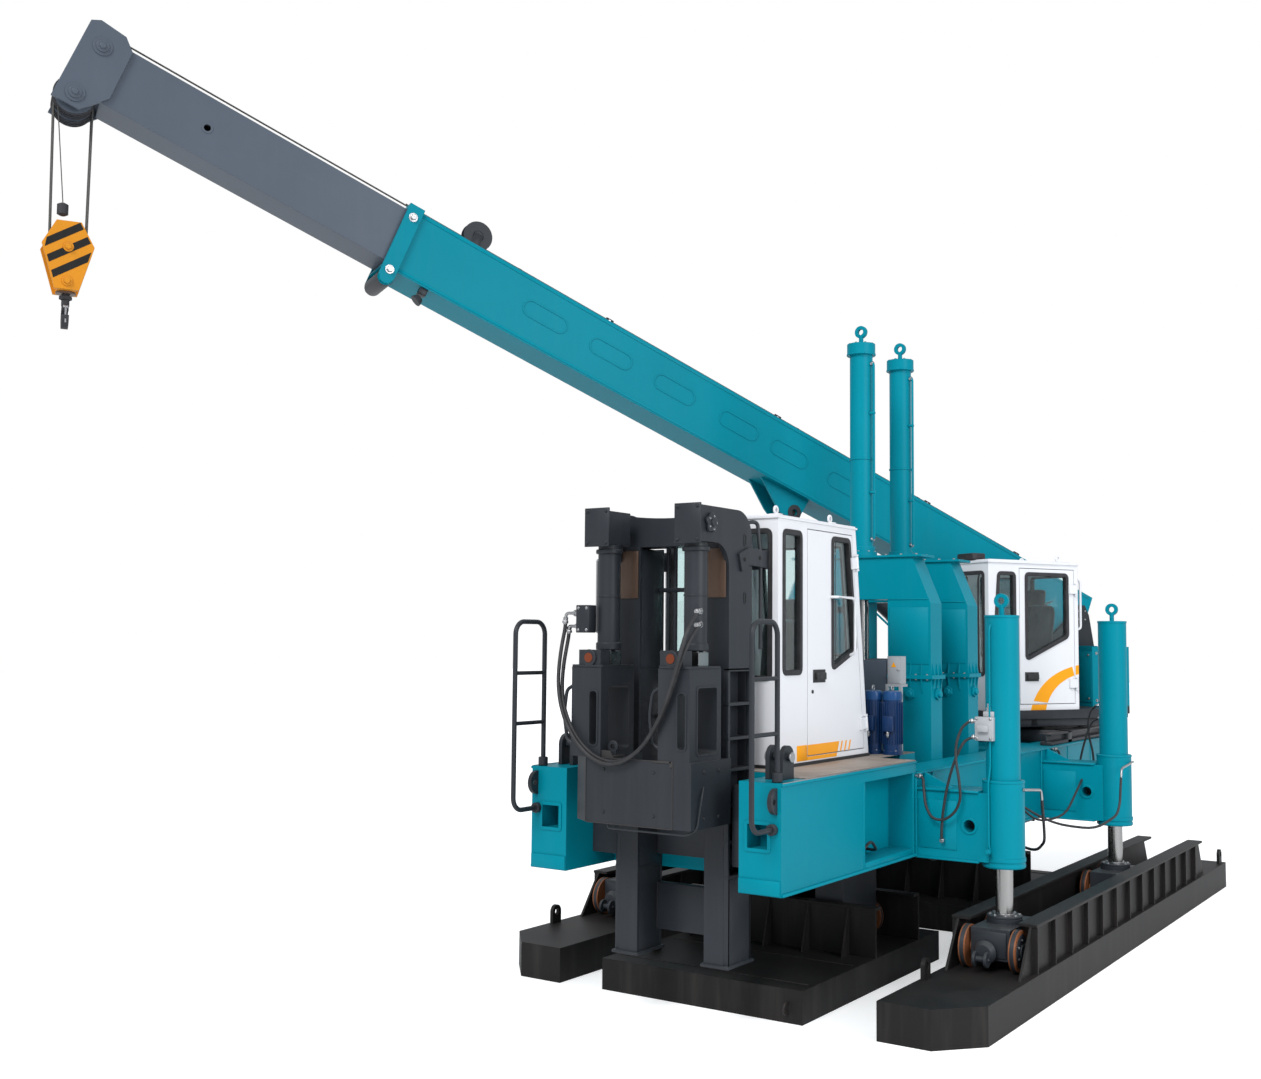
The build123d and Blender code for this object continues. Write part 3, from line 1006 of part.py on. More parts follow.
PIECES = {
    "main_frame": main_frame(), "deck_plates": deck_plates(), "outriggers": outriggers(), "hangers": hangers(),
    "leg_barrels": leg_barrels(), "gantry": gantry(), "press_barrels": press_barrels(),
    "main_clamp": main_clamp(), "press_rods": press_rods(),
    "mast": mast(), "side_barrels": side_barrels(), "side_rods": side_rods(), "carriage": carriage(),
    "handrails": handrails(), "frame_lugs": frame_lugs(), "front_hoses": front_hoses(), "leg_hoses": leg_hoses(),
    "press_cab": press_cab(), "press_cab_glass": press_cab_glass(),
    "press_door": press_door(), "press_door_glass": press_door_glass(),
    "press_seat": seat(Location(), 60, -2150, CAB_FOOT + WALL),
    "power_pack": power_pack(), "motors": motors(),
    "long_boat_left": long_boat(-1), "long_boat_right": long_boat(1),
    "trolleys_left": trolleys(-1), "trolleys_right": trolleys(1),
    "leg_rods_left": leg_rods(-1), "leg_rods_right": leg_rods(1),
    "short_boat_front": short_boat(-1), "short_boat_rear": short_boat(1),
    "short_wheels_front_left": short_wheelset(-1, -HANGER_X), "short_wheels_front_right": short_wheelset(-1, HANGER_X),
    "short_wheels_rear_left": short_wheelset(1, -HANGER_X), "short_wheels_rear_right": short_wheelset(1, HANGER_X),
    "turret": turret(), "turret_pins": turret_pins(), "tail_box": tail_box(),
    "crane_cab": crane_cab(), "crane_cab_glass": crane_cab_glass(),
    "crane_door": crane_door(), "crane_door_glass": crane_door_glass(),
    "crane_seat": seat(CRANE, 685, -340, TURRET_TOP + WALL),
    "boom_outer": boom_outer(), "boom_inner": boom_inner(), "luff_barrel": luff_barrel(), "luff_rod": luff_rod(),
    "hook_block": hook_block(), "hook": hook(),
}

for side, hand in ((-1, "left"), (1, "right")):
    for end, leg in ((-1, "front"), (1, "rear")):
        for step, place_in_trolley in ((-1, "ahead"), (1, "behind")):
            PIECES[f"wheels_{hand}_{leg}_{place_in_trolley}"] = wheelset(side, end * LEG_Y + step * AXLE_SPREAD)

os.makedirs("parts", exist_ok=True)
for name, piece in PIECES.items():
    piece.label = name
    export_step(piece, f"parts/{name}.step")
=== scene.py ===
"""A hydraulic pile driving rig on walking pontoons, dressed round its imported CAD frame. Lengths are in metres."""
import math

import bmesh
import bpy
import numpy as np
from mathutils import Matrix, Vector


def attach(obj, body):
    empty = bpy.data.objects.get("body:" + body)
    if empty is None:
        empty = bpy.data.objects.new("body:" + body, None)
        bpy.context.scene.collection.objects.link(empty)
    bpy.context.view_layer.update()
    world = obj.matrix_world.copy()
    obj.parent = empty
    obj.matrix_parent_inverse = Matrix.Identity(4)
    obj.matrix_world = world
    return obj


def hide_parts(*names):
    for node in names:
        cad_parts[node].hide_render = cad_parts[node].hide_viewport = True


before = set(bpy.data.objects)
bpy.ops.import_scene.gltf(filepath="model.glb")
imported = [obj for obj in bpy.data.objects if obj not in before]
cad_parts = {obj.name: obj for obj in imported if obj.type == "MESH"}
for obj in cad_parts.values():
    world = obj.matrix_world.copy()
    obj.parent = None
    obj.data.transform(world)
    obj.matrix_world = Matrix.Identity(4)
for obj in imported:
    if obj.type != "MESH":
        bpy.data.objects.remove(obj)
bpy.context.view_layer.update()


# ---- shader nodes ----

def feed(tree, socket, value):
    """Gives an input its value: another node's output, a number, a vector or a colour."""
    if isinstance(value, bpy.types.NodeSocket):
        tree.links.new(value, socket)
    elif socket.type == "RGBA":
        socket.default_value = (*value, 1.0)
    else:
        socket.default_value = value


def node(tree, kind, inputs=(), output=0, **settings):
    """Adds a shader node with its settings, then its inputs by name or number; gives one of its outputs."""
    made = tree.nodes.new("ShaderNode" + kind)
    for label, value in settings.items():
        setattr(made, label, value)
    for label, value in dict(inputs).items():
        feed(tree, made.inputs[label], value)
    return made.outputs[output]


def calc(tree, operation, a, b=0.5, clamp=False):
    """A Math node fed by outputs or plain numbers."""
    return node(tree, "Math", {0: a, 1: b}, operation=operation, use_clamp=clamp)


def ramp(tree, value, low, high):
    """A straight ramp from 0 at low to 1 at high, held between them."""
    return node(tree, "MapRange", {"Value": value, "From Min": low, "From Max": high}, "Result")


def noise(tree, vector, scale, detail=4.0, rough=0.55, stretch=None):
    """Fractal noise on a vector, drawn out along an axis where stretch is given."""
    if stretch:
        vector = node(tree, "Mapping", {"Vector": vector, "Scale": stretch}, "Vector")
    return node(tree, "TexNoise", {"Vector": vector, "Scale": scale, "Detail": detail, "Roughness": rough}, "Fac")


def blend_colour(tree, mask, first, second):
    """Mixes from first to second by a mask; each is a colour or an output."""
    return node(tree, "Mix", {"Factor": mask, "A": first, "B": second}, "Result", data_type="RGBA")


def relief(tree, height, strength, distance, **normal):
    """A bump from a height, over another normal where one is given."""
    return node(tree, "Bump", {"Height": height, "Strength": strength, "Distance": distance, **normal}, "Normal")


def new_group(name, inputs, outputs):
    """An empty node group with number inputs, vectors where None is given; gives it, its inputs and its outputs."""
    tree = bpy.data.node_groups.new(name, "ShaderNodeTree")
    for label, value in inputs.items():
        kind = "NodeSocketVector" if value is None else "NodeSocketFloat"
        socket = tree.interface.new_socket(label, in_out="INPUT", socket_type=kind)
        if value is not None:
            socket.default_value = value
    for label, kind in outputs.items():
        tree.interface.new_socket(label, in_out="OUTPUT", socket_type="NodeSocket" + kind)
    return tree, tree.nodes.new("NodeGroupInput").outputs, tree.nodes.new("NodeGroupOutput").inputs


def weathering_group():
    """Edge chips, settled dust, rain streaks and slow colour drift, with the rounded edge normal they come from."""
    tree, given, out = new_group(
        "weathering", {"Vector": None, "Round": 0.006, "Chips": 0.5, "Dust": 0.5, "Streaks": 0.3},
        {"Chip Mask": "Float", "Dust Mask": "Float", "Drift": "Float", "Normal": "Vector"})
    vector = given["Vector"]
    rounded_normal = node(tree, "Bevel", {"Radius": given["Round"]}, "Normal", samples=4)
    normal = node(tree, "NewGeometry", output="Normal")
    bend = node(tree, "VectorMath", {0: rounded_normal, 1: normal}, "Value", operation="DOT_PRODUCT")
    edge = ramp(tree, calc(tree, "SUBTRACT", 1.0, bend), 0.02, 0.16)
    ragged = ramp(tree, noise(tree, vector, 55.0), 0.52, 0.62)
    chips = calc(tree, "MULTIPLY", calc(tree, "MULTIPLY", edge, ragged), given["Chips"], clamp=True)
    upward = ramp(tree, node(tree, "SeparateXYZ", {0: normal}, "Z"), 0.35, 0.95)
    settled = calc(tree, "MULTIPLY", upward, ramp(tree, noise(tree, vector, 3.2, 6.0), 0.3, 0.75))
    streaks = ramp(tree, noise(tree, vector, 9.0, 3.0, 0.6, (1.0, 1.0, 0.09)), 0.5, 0.8)
    streaks = calc(tree, "MULTIPLY", streaks, calc(tree, "SUBTRACT", 1.0, upward))
    dust = calc(tree, "ADD", calc(tree, "MULTIPLY", settled, given["Dust"]),
                calc(tree, "MULTIPLY", streaks, given["Streaks"]), clamp=True)
    feed(tree, out["Chip Mask"], chips)
    feed(tree, out["Dust Mask"], dust)
    feed(tree, out["Drift"], noise(tree, vector, 1.4, 3.0))
    feed(tree, out["Normal"], rounded_normal)
    return tree


def grain_group():
    """A height for sprayed paint or cast skin: fine peel over broad waves, each with its own share."""
    tree, given, out = new_group("surface_grain", {"Vector": None, "Peel": 0.5, "Waves": 0.5}, {"Height": "Float"})
    peel = calc(tree, "MULTIPLY", noise(tree, given["Vector"], 260.0, 2.0), given["Peel"])
    waves = calc(tree, "MULTIPLY", noise(tree, given["Vector"], 5.0, 2.0), given["Waves"])
    feed(tree, out["Height"], calc(tree, "ADD", peel, waves))
    return tree


WEATHERING, GRAIN = weathering_group(), grain_group()


# ---- materials ----

def start_material(name):
    """A fresh node material; gives it, its tree and its object coordinates."""
    material = bpy.data.materials.new(name)
    material.use_nodes = True
    return material, material.node_tree, node(material.node_tree, "TexCoord", output="Object")


def surface(material, **inputs):
    """Sets inputs of a material's shader, named with underscores for spaces; gives the material."""
    tree = material.node_tree
    for label, value in inputs.items():
        feed(tree, tree.nodes["Principled BSDF"].inputs[label.replace("_", " ")], value)
    return material


def group_node(tree, group, coords, **values):
    """Places a group in a material with its own values; gives its outputs."""
    made = tree.nodes.new("ShaderNodeGroup")
    made.node_tree = group
    for label, value in {"Vector": coords, **values}.items():
        feed(tree, made.inputs[label], value)
    return made.outputs


DUST = (0.33, 0.30, 0.26)


def coated_metal(name, colour, rough=0.38, metal=0.0, under=(0.10, 0.085, 0.075), round_edge=0.006, chips=0.5,
                 dust=0.35, streaks=0.02, peel=0.3, waves=0.4, drift=0.12, bump=0.05, coat=0.0, gloss=0.22):
    """Painted or bare metal: rounded, chipped edges, dust on what faces up, streaks on what hangs, a grained skin."""
    material, tree, coords = start_material(name)
    worn = group_node(tree, WEATHERING, coords, Round=round_edge, Chips=chips, Dust=dust, Streaks=streaks)
    grain = group_node(tree, GRAIN, coords, Peel=peel, Waves=waves)
    darker, lighter = (tuple(min(1.0, c * (1.0 + shift)) for c in colour) for shift in (-drift, drift))
    base = blend_colour(tree, worn["Drift"], darker, lighter)
    base = blend_colour(tree, worn["Dust Mask"], base, DUST)
    base = blend_colour(tree, worn["Chip Mask"], base, under)
    dull = calc(tree, "ADD", calc(tree, "MULTIPLY", worn["Dust Mask"], 0.35), rough, clamp=True)
    return surface(material, Base_Color=base, Roughness=dull, Metallic=metal, Specular_IOR_Level=gloss,
                   Coat_Weight=coat, Coat_Roughness=0.12,
                   Normal=relief(tree, grain["Height"], bump, 0.01, Normal=worn["Normal"]))


def clear_glass(name, tint):
    """A tinted pane: smooth, seen through, with a faint film of dust on its gloss."""
    material, tree, coords = start_material(name)
    film = ramp(tree, noise(tree, coords, 6.0, 5.0), 0.35, 0.8)
    return surface(material, Base_Color=tint, Transmission_Weight=1.0, IOR=1.45,
                   Roughness=calc(tree, "MULTIPLY", film, 0.09))


def tread_plate(name, colour):
    """Deck plate with raised lozenges in turned pairs: two crossed wave fields cut to short bars, over brown dirt."""
    material, tree, coords = start_material(name)
    worn = group_node(tree, WEATHERING, coords, Round=0.003, Chips=0.6, Dust=0.6, Streaks=0.0)
    x, y = (node(tree, "SeparateXYZ", {0: coords}, axis) for axis in "XY")
    wave_rate = 74.0
    waves = [calc(tree, "SINE", calc(tree, "MULTIPLY", calc(tree, way, x, y), wave_rate))
             for way in ("ADD", "SUBTRACT")]
    studs = ramp(tree, calc(tree, "ABSOLUTE", calc(tree, "MULTIPLY", *waves)), 0.55, 0.8)
    soil = ramp(tree, noise(tree, coords, 4.5, 8.0, 0.7), 0.35, 0.7)
    base = blend_colour(tree, soil, colour, (0.27, 0.21, 0.17))
    base = blend_colour(tree, studs, base, (0.30, 0.26, 0.23))
    base = blend_colour(tree, worn["Dust Mask"], base, (0.38, 0.34, 0.30))
    return surface(material, Base_Color=base, Roughness=ramp(tree, soil, -1.2, 1.6),
                   Normal=relief(tree, studs, 0.5, 0.002, Normal=worn["Normal"]))


def woven_cover(name, colour):
    """Seat cloth: threads along every axis as a fine wave height, with worn, paler crowns."""
    material, tree, coords = start_material(name)
    thread_rate = 900.0
    threads = [calc(tree, "SINE", calc(tree, "MULTIPLY", node(tree, "SeparateXYZ", {0: coords}, axis), thread_rate))
               for axis in "XYZ"]
    weave = calc(tree, "ADD", calc(tree, "ADD", threads[0], threads[1]), threads[2])
    rub = ramp(tree, noise(tree, coords, 8.0), 0.4, 0.75)
    return surface(material, Base_Color=blend_colour(tree, rub, colour, tuple(c * 1.8 for c in colour)),
                   Roughness=0.85, Sheen_Weight=0.3, Normal=relief(tree, weave, 0.3, 0.001))


def rubber(name, colour, rough=0.6):
    """Moulded rubber: nearly black, matt, greyed where it is handled."""
    material, tree, coords = start_material(name)
    bloom = ramp(tree, noise(tree, coords, 14.0, 6.0), 0.4, 0.8)
    return surface(material, Base_Color=blend_colour(tree, bloom, colour, tuple(c * 2.2 for c in colour)),
                   Roughness=rough, Normal=relief(tree, noise(tree, coords, 180.0, 2.0), 0.15, 0.002))


TEAL = coated_metal("teal_paint", (0.0, 0.212, 0.284), rough=0.36, chips=0.25, dust=0.02, streaks=0.01, gloss=0.07,
                    drift=0.08, under=(0.02, 0.06, 0.07))
DARK = coated_metal("dark_grey_paint", (0.021, 0.025, 0.031), rough=0.42, chips=0.30, dust=0.12, drift=0.25,
                    gloss=0.3, under=(0.07, 0.06, 0.055))
BOAT = coated_metal("pontoon_black", (0.0115, 0.0105, 0.0105), rough=0.5, chips=0.4, dust=0.04, streaks=0.05,
                    drift=0.35, under=(0.07, 0.045, 0.03), peel=0.5, waves=0.7, gloss=0.2)
RAIL = coated_metal("rail_brown", (0.017, 0.0145, 0.0135), rough=0.55, chips=0.6, dust=0.06, streaks=0.06, drift=0.35,
                    under=(0.08, 0.05, 0.035), peel=0.5, gloss=0.3)
WHITE = coated_metal("cab_white", (0.74, 0.75, 0.78), rough=0.28, chips=0.08, dust=0.05, streaks=0.02, drift=0.02,
                     coat=0.15, bump=0.02)
BOOM_GREY = coated_metal("boom_grey", (0.085, 0.105, 0.135), rough=0.4, chips=0.35, dust=0.12)
CHROME = coated_metal("hard_chrome", (0.36, 0.36, 0.355), rough=0.20, metal=1.0, chips=0.0, dust=0.08, streaks=0.1,
                      peel=0.05, waves=0.1, bump=0.02, round_edge=0.003, gloss=0.5)
ROLLER = coated_metal("roller_copper", (0.24, 0.085, 0.035), rough=0.5, metal=0.3, chips=0.7, dust=0.15,
                      under=(0.30, 0.26, 0.22), peel=0.8)
DECK = tread_plate("deck_plate", (0.15, 0.115, 0.095))
GLASS = clear_glass("cab_glass", (0.78, 0.90, 0.90))
SEAT = woven_cover("seat_cloth", (0.025, 0.026, 0.03))
BLUE = coated_metal("motor_blue", (0.005, 0.030, 0.105), rough=0.3, chips=0.2, coat=0.2, round_edge=0.004)
CABINET = coated_metal("cabinet_grey", (0.36, 0.38, 0.40), rough=0.4, chips=0.2)
ORANGE = coated_metal("hook_orange", (0.66, 0.255, 0.012), rough=0.4, chips=0.6)
FORGED = coated_metal("forged_iron", (0.05, 0.05, 0.055), rough=0.55, metal=0.4, chips=0.5, peel=1.0, bump=0.15)
PIN_STEEL = coated_metal("pin_steel", (0.45, 0.45, 0.46), rough=0.3, metal=1.0, chips=0.0, dust=0.2, round_edge=0.003)
RUBBER = rubber("black_rubber", (0.014, 0.014, 0.016))
LENS = coated_metal("lens_brick", (0.16, 0.035, 0.012), rough=0.3, chips=0.1, dust=0.05)
# painted shade: thin black plates and discs that stand in for the dark openings of slots and holes
SHADOW = rubber("slot_painted_shade", (0.004, 0.004, 0.004), 0.9)
COPPER = coated_metal("guide_copper", (0.125, 0.080, 0.058), rough=0.35, metal=0.2, chips=0.3, dust=0.1,
                      round_edge=0.002)
WORN_GREY = coated_metal("worn_plate", (0.042, 0.040, 0.041), rough=0.5, chips=0.15, dust=0.15, drift=0.3)
RED_PAINT = coated_metal("collar_red", (0.62, 0.075, 0.02), rough=0.4, chips=0.4)
STRIPE = coated_metal("stripe_orange", (0.93, 0.36, 0.005), rough=0.35, chips=0.1, dust=0.05, round_edge=0.001)
BLACK_PAINT = coated_metal("band_black", (0.012, 0.012, 0.012), rough=0.45, chips=0.8, under=(0.5, 0.22, 0.02),
                           round_edge=0.001)
BLUE_LIGHT = coated_metal("hood_blue", (0.010, 0.065, 0.20), rough=0.3, chips=0.2, coat=0.2, round_edge=0.003)
WIRE = coated_metal("wire_rope", (0.10, 0.10, 0.095), rough=0.5, metal=0.7, chips=0.0, dust=0.2, peel=1.0, bump=0.3)

# the CAD nodes that each material dresses
FINISHES = {
    TEAL: ["main_frame", "outriggers", "leg_barrels", "gantry", "press_barrels", "tail_box", "boom_outer"],
    DARK: ["mast", "side_barrels", "carriage", "handrails", "frame_lugs", "turret", "hangers", "trolleys_left",
           "trolleys_right", "luff_barrel"],
    BOAT: ["long_boat_left", "long_boat_right", "short_boat_front", "short_boat_rear"],
    WHITE: ["press_cab", "press_door", "crane_cab", "crane_door"],
    BOOM_GREY: ["boom_inner", "main_clamp"],
    CHROME: ["press_rods", "side_rods", "leg_rods_left", "leg_rods_right", "luff_rod"],
    DECK: ["deck_plates"],
    GLASS: ["press_cab_glass", "press_door_glass", "crane_cab_glass", "crane_door_glass"],
    SEAT: ["press_seat", "crane_seat"], BLUE: ["motors"], CABINET: ["power_pack"], ORANGE: ["hook_block"],
    FORGED: ["hook"], PIN_STEEL: ["turret_pins"], RUBBER: ["front_hoses", "leg_hoses"],
}


def dress(solid, material):
    """Gives a CAD node its material."""
    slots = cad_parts[solid].material_slots
    if not slots:
        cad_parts[solid].data.materials.append(material)
    for slot in slots:
        slot.material = material


for finish, solids in FINISHES.items():
    for solid in solids:
        dress(solid, finish)
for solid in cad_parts:
    if solid.startswith(("wheels_", "short_wheels_")):
        dress(solid, ROLLER)


# ---- shapes: each gives its points and its faces, as a closed skin ----

RIGHT, BACK, UP = np.eye(3)


def shell(points, closed=False):
    """A closed skin over a grid of points, a ring to a row: the rings join end to end, or the end rings get a cap."""
    rows, columns = points.shape[:2]
    index = np.arange(rows * columns).reshape(rows, columns)
    near, far = (index, np.roll(index, -1, 0)) if closed else (index[:-1], index[1:])
    quads = np.stack([near, np.roll(near, -1, 1), np.roll(far, -1, 1), far], -1).reshape(-1, 4)
    return points.reshape(-1, 3), [quads] if closed else [quads, index[:1], index[-1:]]


def unit(vectors):
    """Vectors divided by their lengths."""
    vectors = np.asarray(vectors, float)
    return vectors / np.linalg.norm(vectors, axis=-1, keepdims=True)


def square_axes(along):
    """Two unit vectors square to a direction and to each other."""
    along = unit(along)
    first = unit(np.cross(along, np.eye(3)[np.argmin(np.abs(along))]))
    return along, first, np.cross(along, first)


def turned(profile, at, along=UP, sides=24, closed=False, lobes=(0, 0.0)):
    """A turned piece: the profile's radius over its height, carried once round an axis. Lobes swell it by
    1 + k cos(n angle)."""
    axis, first, second = square_axes(along)
    angle = np.linspace(0, 2 * np.pi, sides, endpoint=False)
    r, h = np.array(profile, float).T
    spokes = np.cos(angle)[:, None] * first + np.sin(angle)[:, None] * second
    spokes = spokes * (1 + lobes[1] * np.cos(lobes[0] * angle))[:, None]
    return shell(np.asarray(at, float) + h[:, None, None] * axis + r[:, None, None] * spokes, closed)


def disc(r, thick, at, along=UP, sides=24):
    """A turned disc whose rims are chamfered by a share of its thickness."""
    cut = 0.15 * thick
    return turned([(r - cut, 0), (r, cut), (r, thick - cut), (r - cut, thick)], at, along, sides)


def stepped(at, along, *steps):
    """Discs on one centre, each given by its radius, its thickness and its sides."""
    return [disc(r, thick, at, along, sides) for r, thick, sides in steps]


def ring(r_in, r_out, thick, at, along=UP, sides=28):
    """A turned ring with a four-sided section and softened outer rims."""
    cut = min(0.2 * thick, 0.2 * (r_out - r_in))
    return turned([(r_in, 0), (r_out - cut, 0), (r_out, cut), (r_out, thick - cut), (r_out - cut, thick),
                   (r_in, thick)], at, along, sides, closed=True)


def tube(path, r, sides=10):
    """A round bar along a path: every ring lies square to the mean direction of the runs beside it."""
    path = np.asarray(path, float)
    along = unit(np.gradient(path, axis=0))
    away = np.eye(3)[np.argmin(np.abs(along).max(0))]
    first = unit(np.cross(along, away))
    second = np.cross(along, first)
    angle = np.linspace(0, 2 * np.pi, sides, endpoint=False)[:, None]
    rings = np.cos(angle) * first[:, None] + np.sin(angle) * second[:, None]
    return shell(path[:, None] + r * rings)


def rounded(corners, before, after, radius, steps):
    """Arcs (1-t)^2 a + 2t(1-t) c + t^2 b at corners c, with a and b up to radius away on the runs before and after."""
    back, ahead = before - corners, after - corners
    runs = np.minimum(np.linalg.norm(back, axis=1), np.linalg.norm(ahead, axis=1))
    reach = np.minimum(radius, 0.45 * runs)[:, None]
    a, b = corners + reach * unit(back), corners + reach * unit(ahead)
    t = np.linspace(0, 1, steps)[:, None, None]
    arcs = (1 - t) ** 2 * a + 2 * t * (1 - t) * corners + t ** 2 * b
    return arcs.transpose(1, 0, 2).reshape(-1, corners.shape[1])


def pipe(corners, r, radius=0.05):
    """A round pipe along a route whose inner corners are rounded."""
    corners = np.asarray(corners, float)
    bends = rounded(corners[1:-1], corners[:-2], corners[2:], radius, 5)
    return tube(np.vstack([corners[:1], bends, corners[-1:]]), r)


def box(x, y, z, soft=0.004):
    """A block with rounded edges: a round-cornered rectangle carried up, drawn in by soft (1 - sin a) at its ends."""
    low, high = np.array([x, y, z], float).T.min(0), np.array([x, y, z], float).T.max(0)
    middle, half = (low + high) / 2, (high - low) / 2
    soft = min(soft, 0.4 * half.min())
    turn = np.radians([8, 45, 82])
    rise = np.radians([0, 45, 90])
    inset = soft * (1 - np.concatenate([np.sin(rise), np.sin(rise[::-1])]))
    height = np.concatenate([-half[2] + soft * (1 - np.cos(rise)), half[2] - soft * (1 - np.cos(rise[::-1]))])
    quarter = np.repeat([(1, 1), (-1, 1), (-1, -1), (1, -1)], 3, axis=0)
    arc = np.concatenate([np.stack([np.cos(turn + q), np.sin(turn + q)], -1) for q in np.pi / 2 * np.arange(4)])
    outline = quarter * (half[:2] - soft) + soft * arc
    shrink = 1 - inset[:, None, None] / half[:2]
    flat = outline * shrink
    level = np.broadcast_to(height[:, None, None], (*flat.shape[:2], 1))
    return shell(middle + np.concatenate([flat, level], -1))


def in_plane(outline, at, right, up):
    """A flat outline set in space: at + u right + v up."""
    outline = np.asarray(outline, float)
    return np.asarray(at, float) + outline[:, :1] * unit(right) + outline[:, 1:] * unit(up)


def slab(outline, at, right, up, thick):
    """A flat plate: a closed outline in the plane of right and up, carried along their cross product."""
    flat = in_plane(outline, at, right, up)
    return shell(np.stack([flat, flat + thick * np.cross(unit(right), unit(up))]))


def edging(outline, at, right, up, width, height):
    """A flat strip along a closed outline in the plane of right and up: from width[0] to width[1] left of the run and
    from height[0] to height[1] off the plane, mitred by (a + b) / (1 + a.b)."""
    path, normal = in_plane(outline, at, right, up), np.cross(unit(right), unit(up))
    left = np.cross(normal, unit(np.roll(path, -1, 0) - path))
    before = np.roll(left, 1, 0)
    mitre = (left + before) / (1 + (left * before).sum(-1, keepdims=True))
    corners = [(width[0], height[0]), (width[1], height[0]), (width[1], height[1]), (width[0], height[1])]
    return shell(np.stack([path + a * mitre + h * normal for a, h in corners], 1), True)


def round_outline(outline, radius, steps=5):
    """A closed flat outline with its corners rounded."""
    outline = np.asarray(outline, float)
    return rounded(outline, np.roll(outline, 1, 0), np.roll(outline, -1, 0), radius, steps)


def oval(length, height):
    """A flat outline with straight sides and half round ends: y = cos, z = sin, with the ends set apart."""
    angle = np.linspace(0, 2 * np.pi, 32, endpoint=False) + np.pi / 32
    shift = np.sign(np.cos(angle)) * (length - height) / 2
    return np.stack([height / 2 * np.cos(angle) + shift, height / 2 * np.sin(angle)], -1)


def bolts(places, along=UP, r=0.012):
    """Hexagon bolt heads with a slight crown, each on a thin round washer."""
    head = [(1.0, 0.16), (1.0, 0.75), (0.82, 0.92)]
    made = []
    for at in places:
        made.append(turned([(r * a, r * h) for a, h in head], at, along, 6))
        made.append(turned([(1.35 * r, 0), (1.35 * r, 0.17 * r)], at, along, 14))
    return made


def circle_of(count, r, at, along=UP, start=0.0):
    """Points spaced evenly on a circle round an axis."""
    _, first, second = square_axes(along)
    angle = start + np.linspace(0, 2 * np.pi, count, endpoint=False)[:, None]
    return np.asarray(at, float) + r * (np.cos(angle) * first + np.sin(angle) * second)


def fitting(at, along, r=0.02, length=0.06):
    """A hose or pipe end: a round ferrule, a hexagon nut and a collar."""
    at, along = np.asarray(at, float), unit(along)
    return [turned([(0.7 * r, 0), (r, 0.1 * length), (r, 0.5 * length), (0.75 * r, 0.55 * length)], at, along, 14),
            turned([(1.15 * r, 0), (1.25 * r, 0.05 * length), (1.25 * r, 0.3 * length), (1.15 * r, 0.35 * length)],
                   at + 0.55 * length * along, along, 6),
            turned([(0.8 * r, 0), (0.8 * r, 0.2 * length)], at + 0.88 * length * along, along, 14)]


def placed(shapes, spot):
    """Shapes carried from a turned frame into the machine's frame."""
    spot = np.array(spot)
    return [(points @ spot[:3, :3].T + spot[:3, 3], faces) for points, faces in shapes]


def mirrored(shapes, signs, at):
    """Shapes made at the origin, mirrored by a sign for each axis and moved to a place."""
    return [(points * signs + at, faces) for points, faces in shapes]


def put(name, shapes, material, body, spot=Matrix(), crease=35):
    """Joins shapes, carried from their spot, into one object that rides on a body. Faces are turned outwards, and edges
    over crease degrees stay sharp."""
    points, faces, start = [], [], 0
    for corners, blocks in placed(shapes, spot):
        points.append(corners)
        for block in blocks:
            faces.extend((block + start).tolist())
        start += len(corners)
    mesh = bpy.data.meshes.new(name)
    mesh.from_pydata(np.concatenate(points).tolist(), [], faces)
    skin = bmesh.new()
    skin.from_mesh(mesh)
    bmesh.ops.recalc_face_normals(skin, faces=skin.faces)
    skin.to_mesh(mesh)
    skin.free()
    mesh.shade_smooth()
    mesh.set_sharp_from_angle(angle=math.radians(crease))
    mesh.materials.append(material)
    piece = bpy.data.objects.new(name, mesh)
    bpy.context.scene.collection.objects.link(piece)
    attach(piece, body)
    return piece


def put_all(body, spot=Matrix(), **pieces):
    """Puts in several objects that share a body and a spot; each name is given its shapes and its material."""
    for name, (shapes, material) in pieces.items():
        put(name, shapes, material, body, spot)


def frame_at(at, turn_z=0.0, turn_x=0.0):
    """A frame at a point, turned about Z and then about its own X."""
    return Matrix.Translation(at) @ Matrix.Rotation(math.radians(turn_z), 4, "Z") @ Matrix.Rotation(
        math.radians(turn_x), 4, "X")


# ---- main sizes shared by the pieces, as the frame has them ----

FRONT, DOWN, LEFT = -BACK, -UP, -RIGHT
SIDES = (-1, 1)
HANDS, ENDS = ((-1, "left"), (1, "right")), ((-1, "front"), (1, "rear"))
# legs, girders and front beams
LEG_X, LEG_Y, BARREL_R, SLEEVE_R = 1.636, 1.45, 0.125, 0.1525
GIRDER_OUT, GIRDER_FOOT, DECK_TOP = 1.006, 1.0, 1.716
BEAM_TOP, BEAM_FACE = 1.712, -3.71
# front press, and the gantry of the main press
COLUMN_SIDE, SIDE_PRESS_X, SIDE_PRESS_Y, COVER_Z, CARRIAGE_FACE = 0.46, 0.355, -3.70, 3.385, -3.955
PORTAL_Y, FLANGE_TOP, FLANGE_FOOT = 0.42, 2.33, 2.295
# cabs: the planes of their walls, and the foot and top of the press cab's slanted back as y and z
PRESS_CAB = {"left": -0.40, "right": 0.55, "front": -2.93}
CRANE_CAB = {"left": 0.32, "right": 1.05, "front": -1.04, "back": 0.125}
REAR_FOOT, REAR_TOP = (-1.46, DECK_TOP), (-1.69, 3.5)
STRIPE_THICK = 0.0015
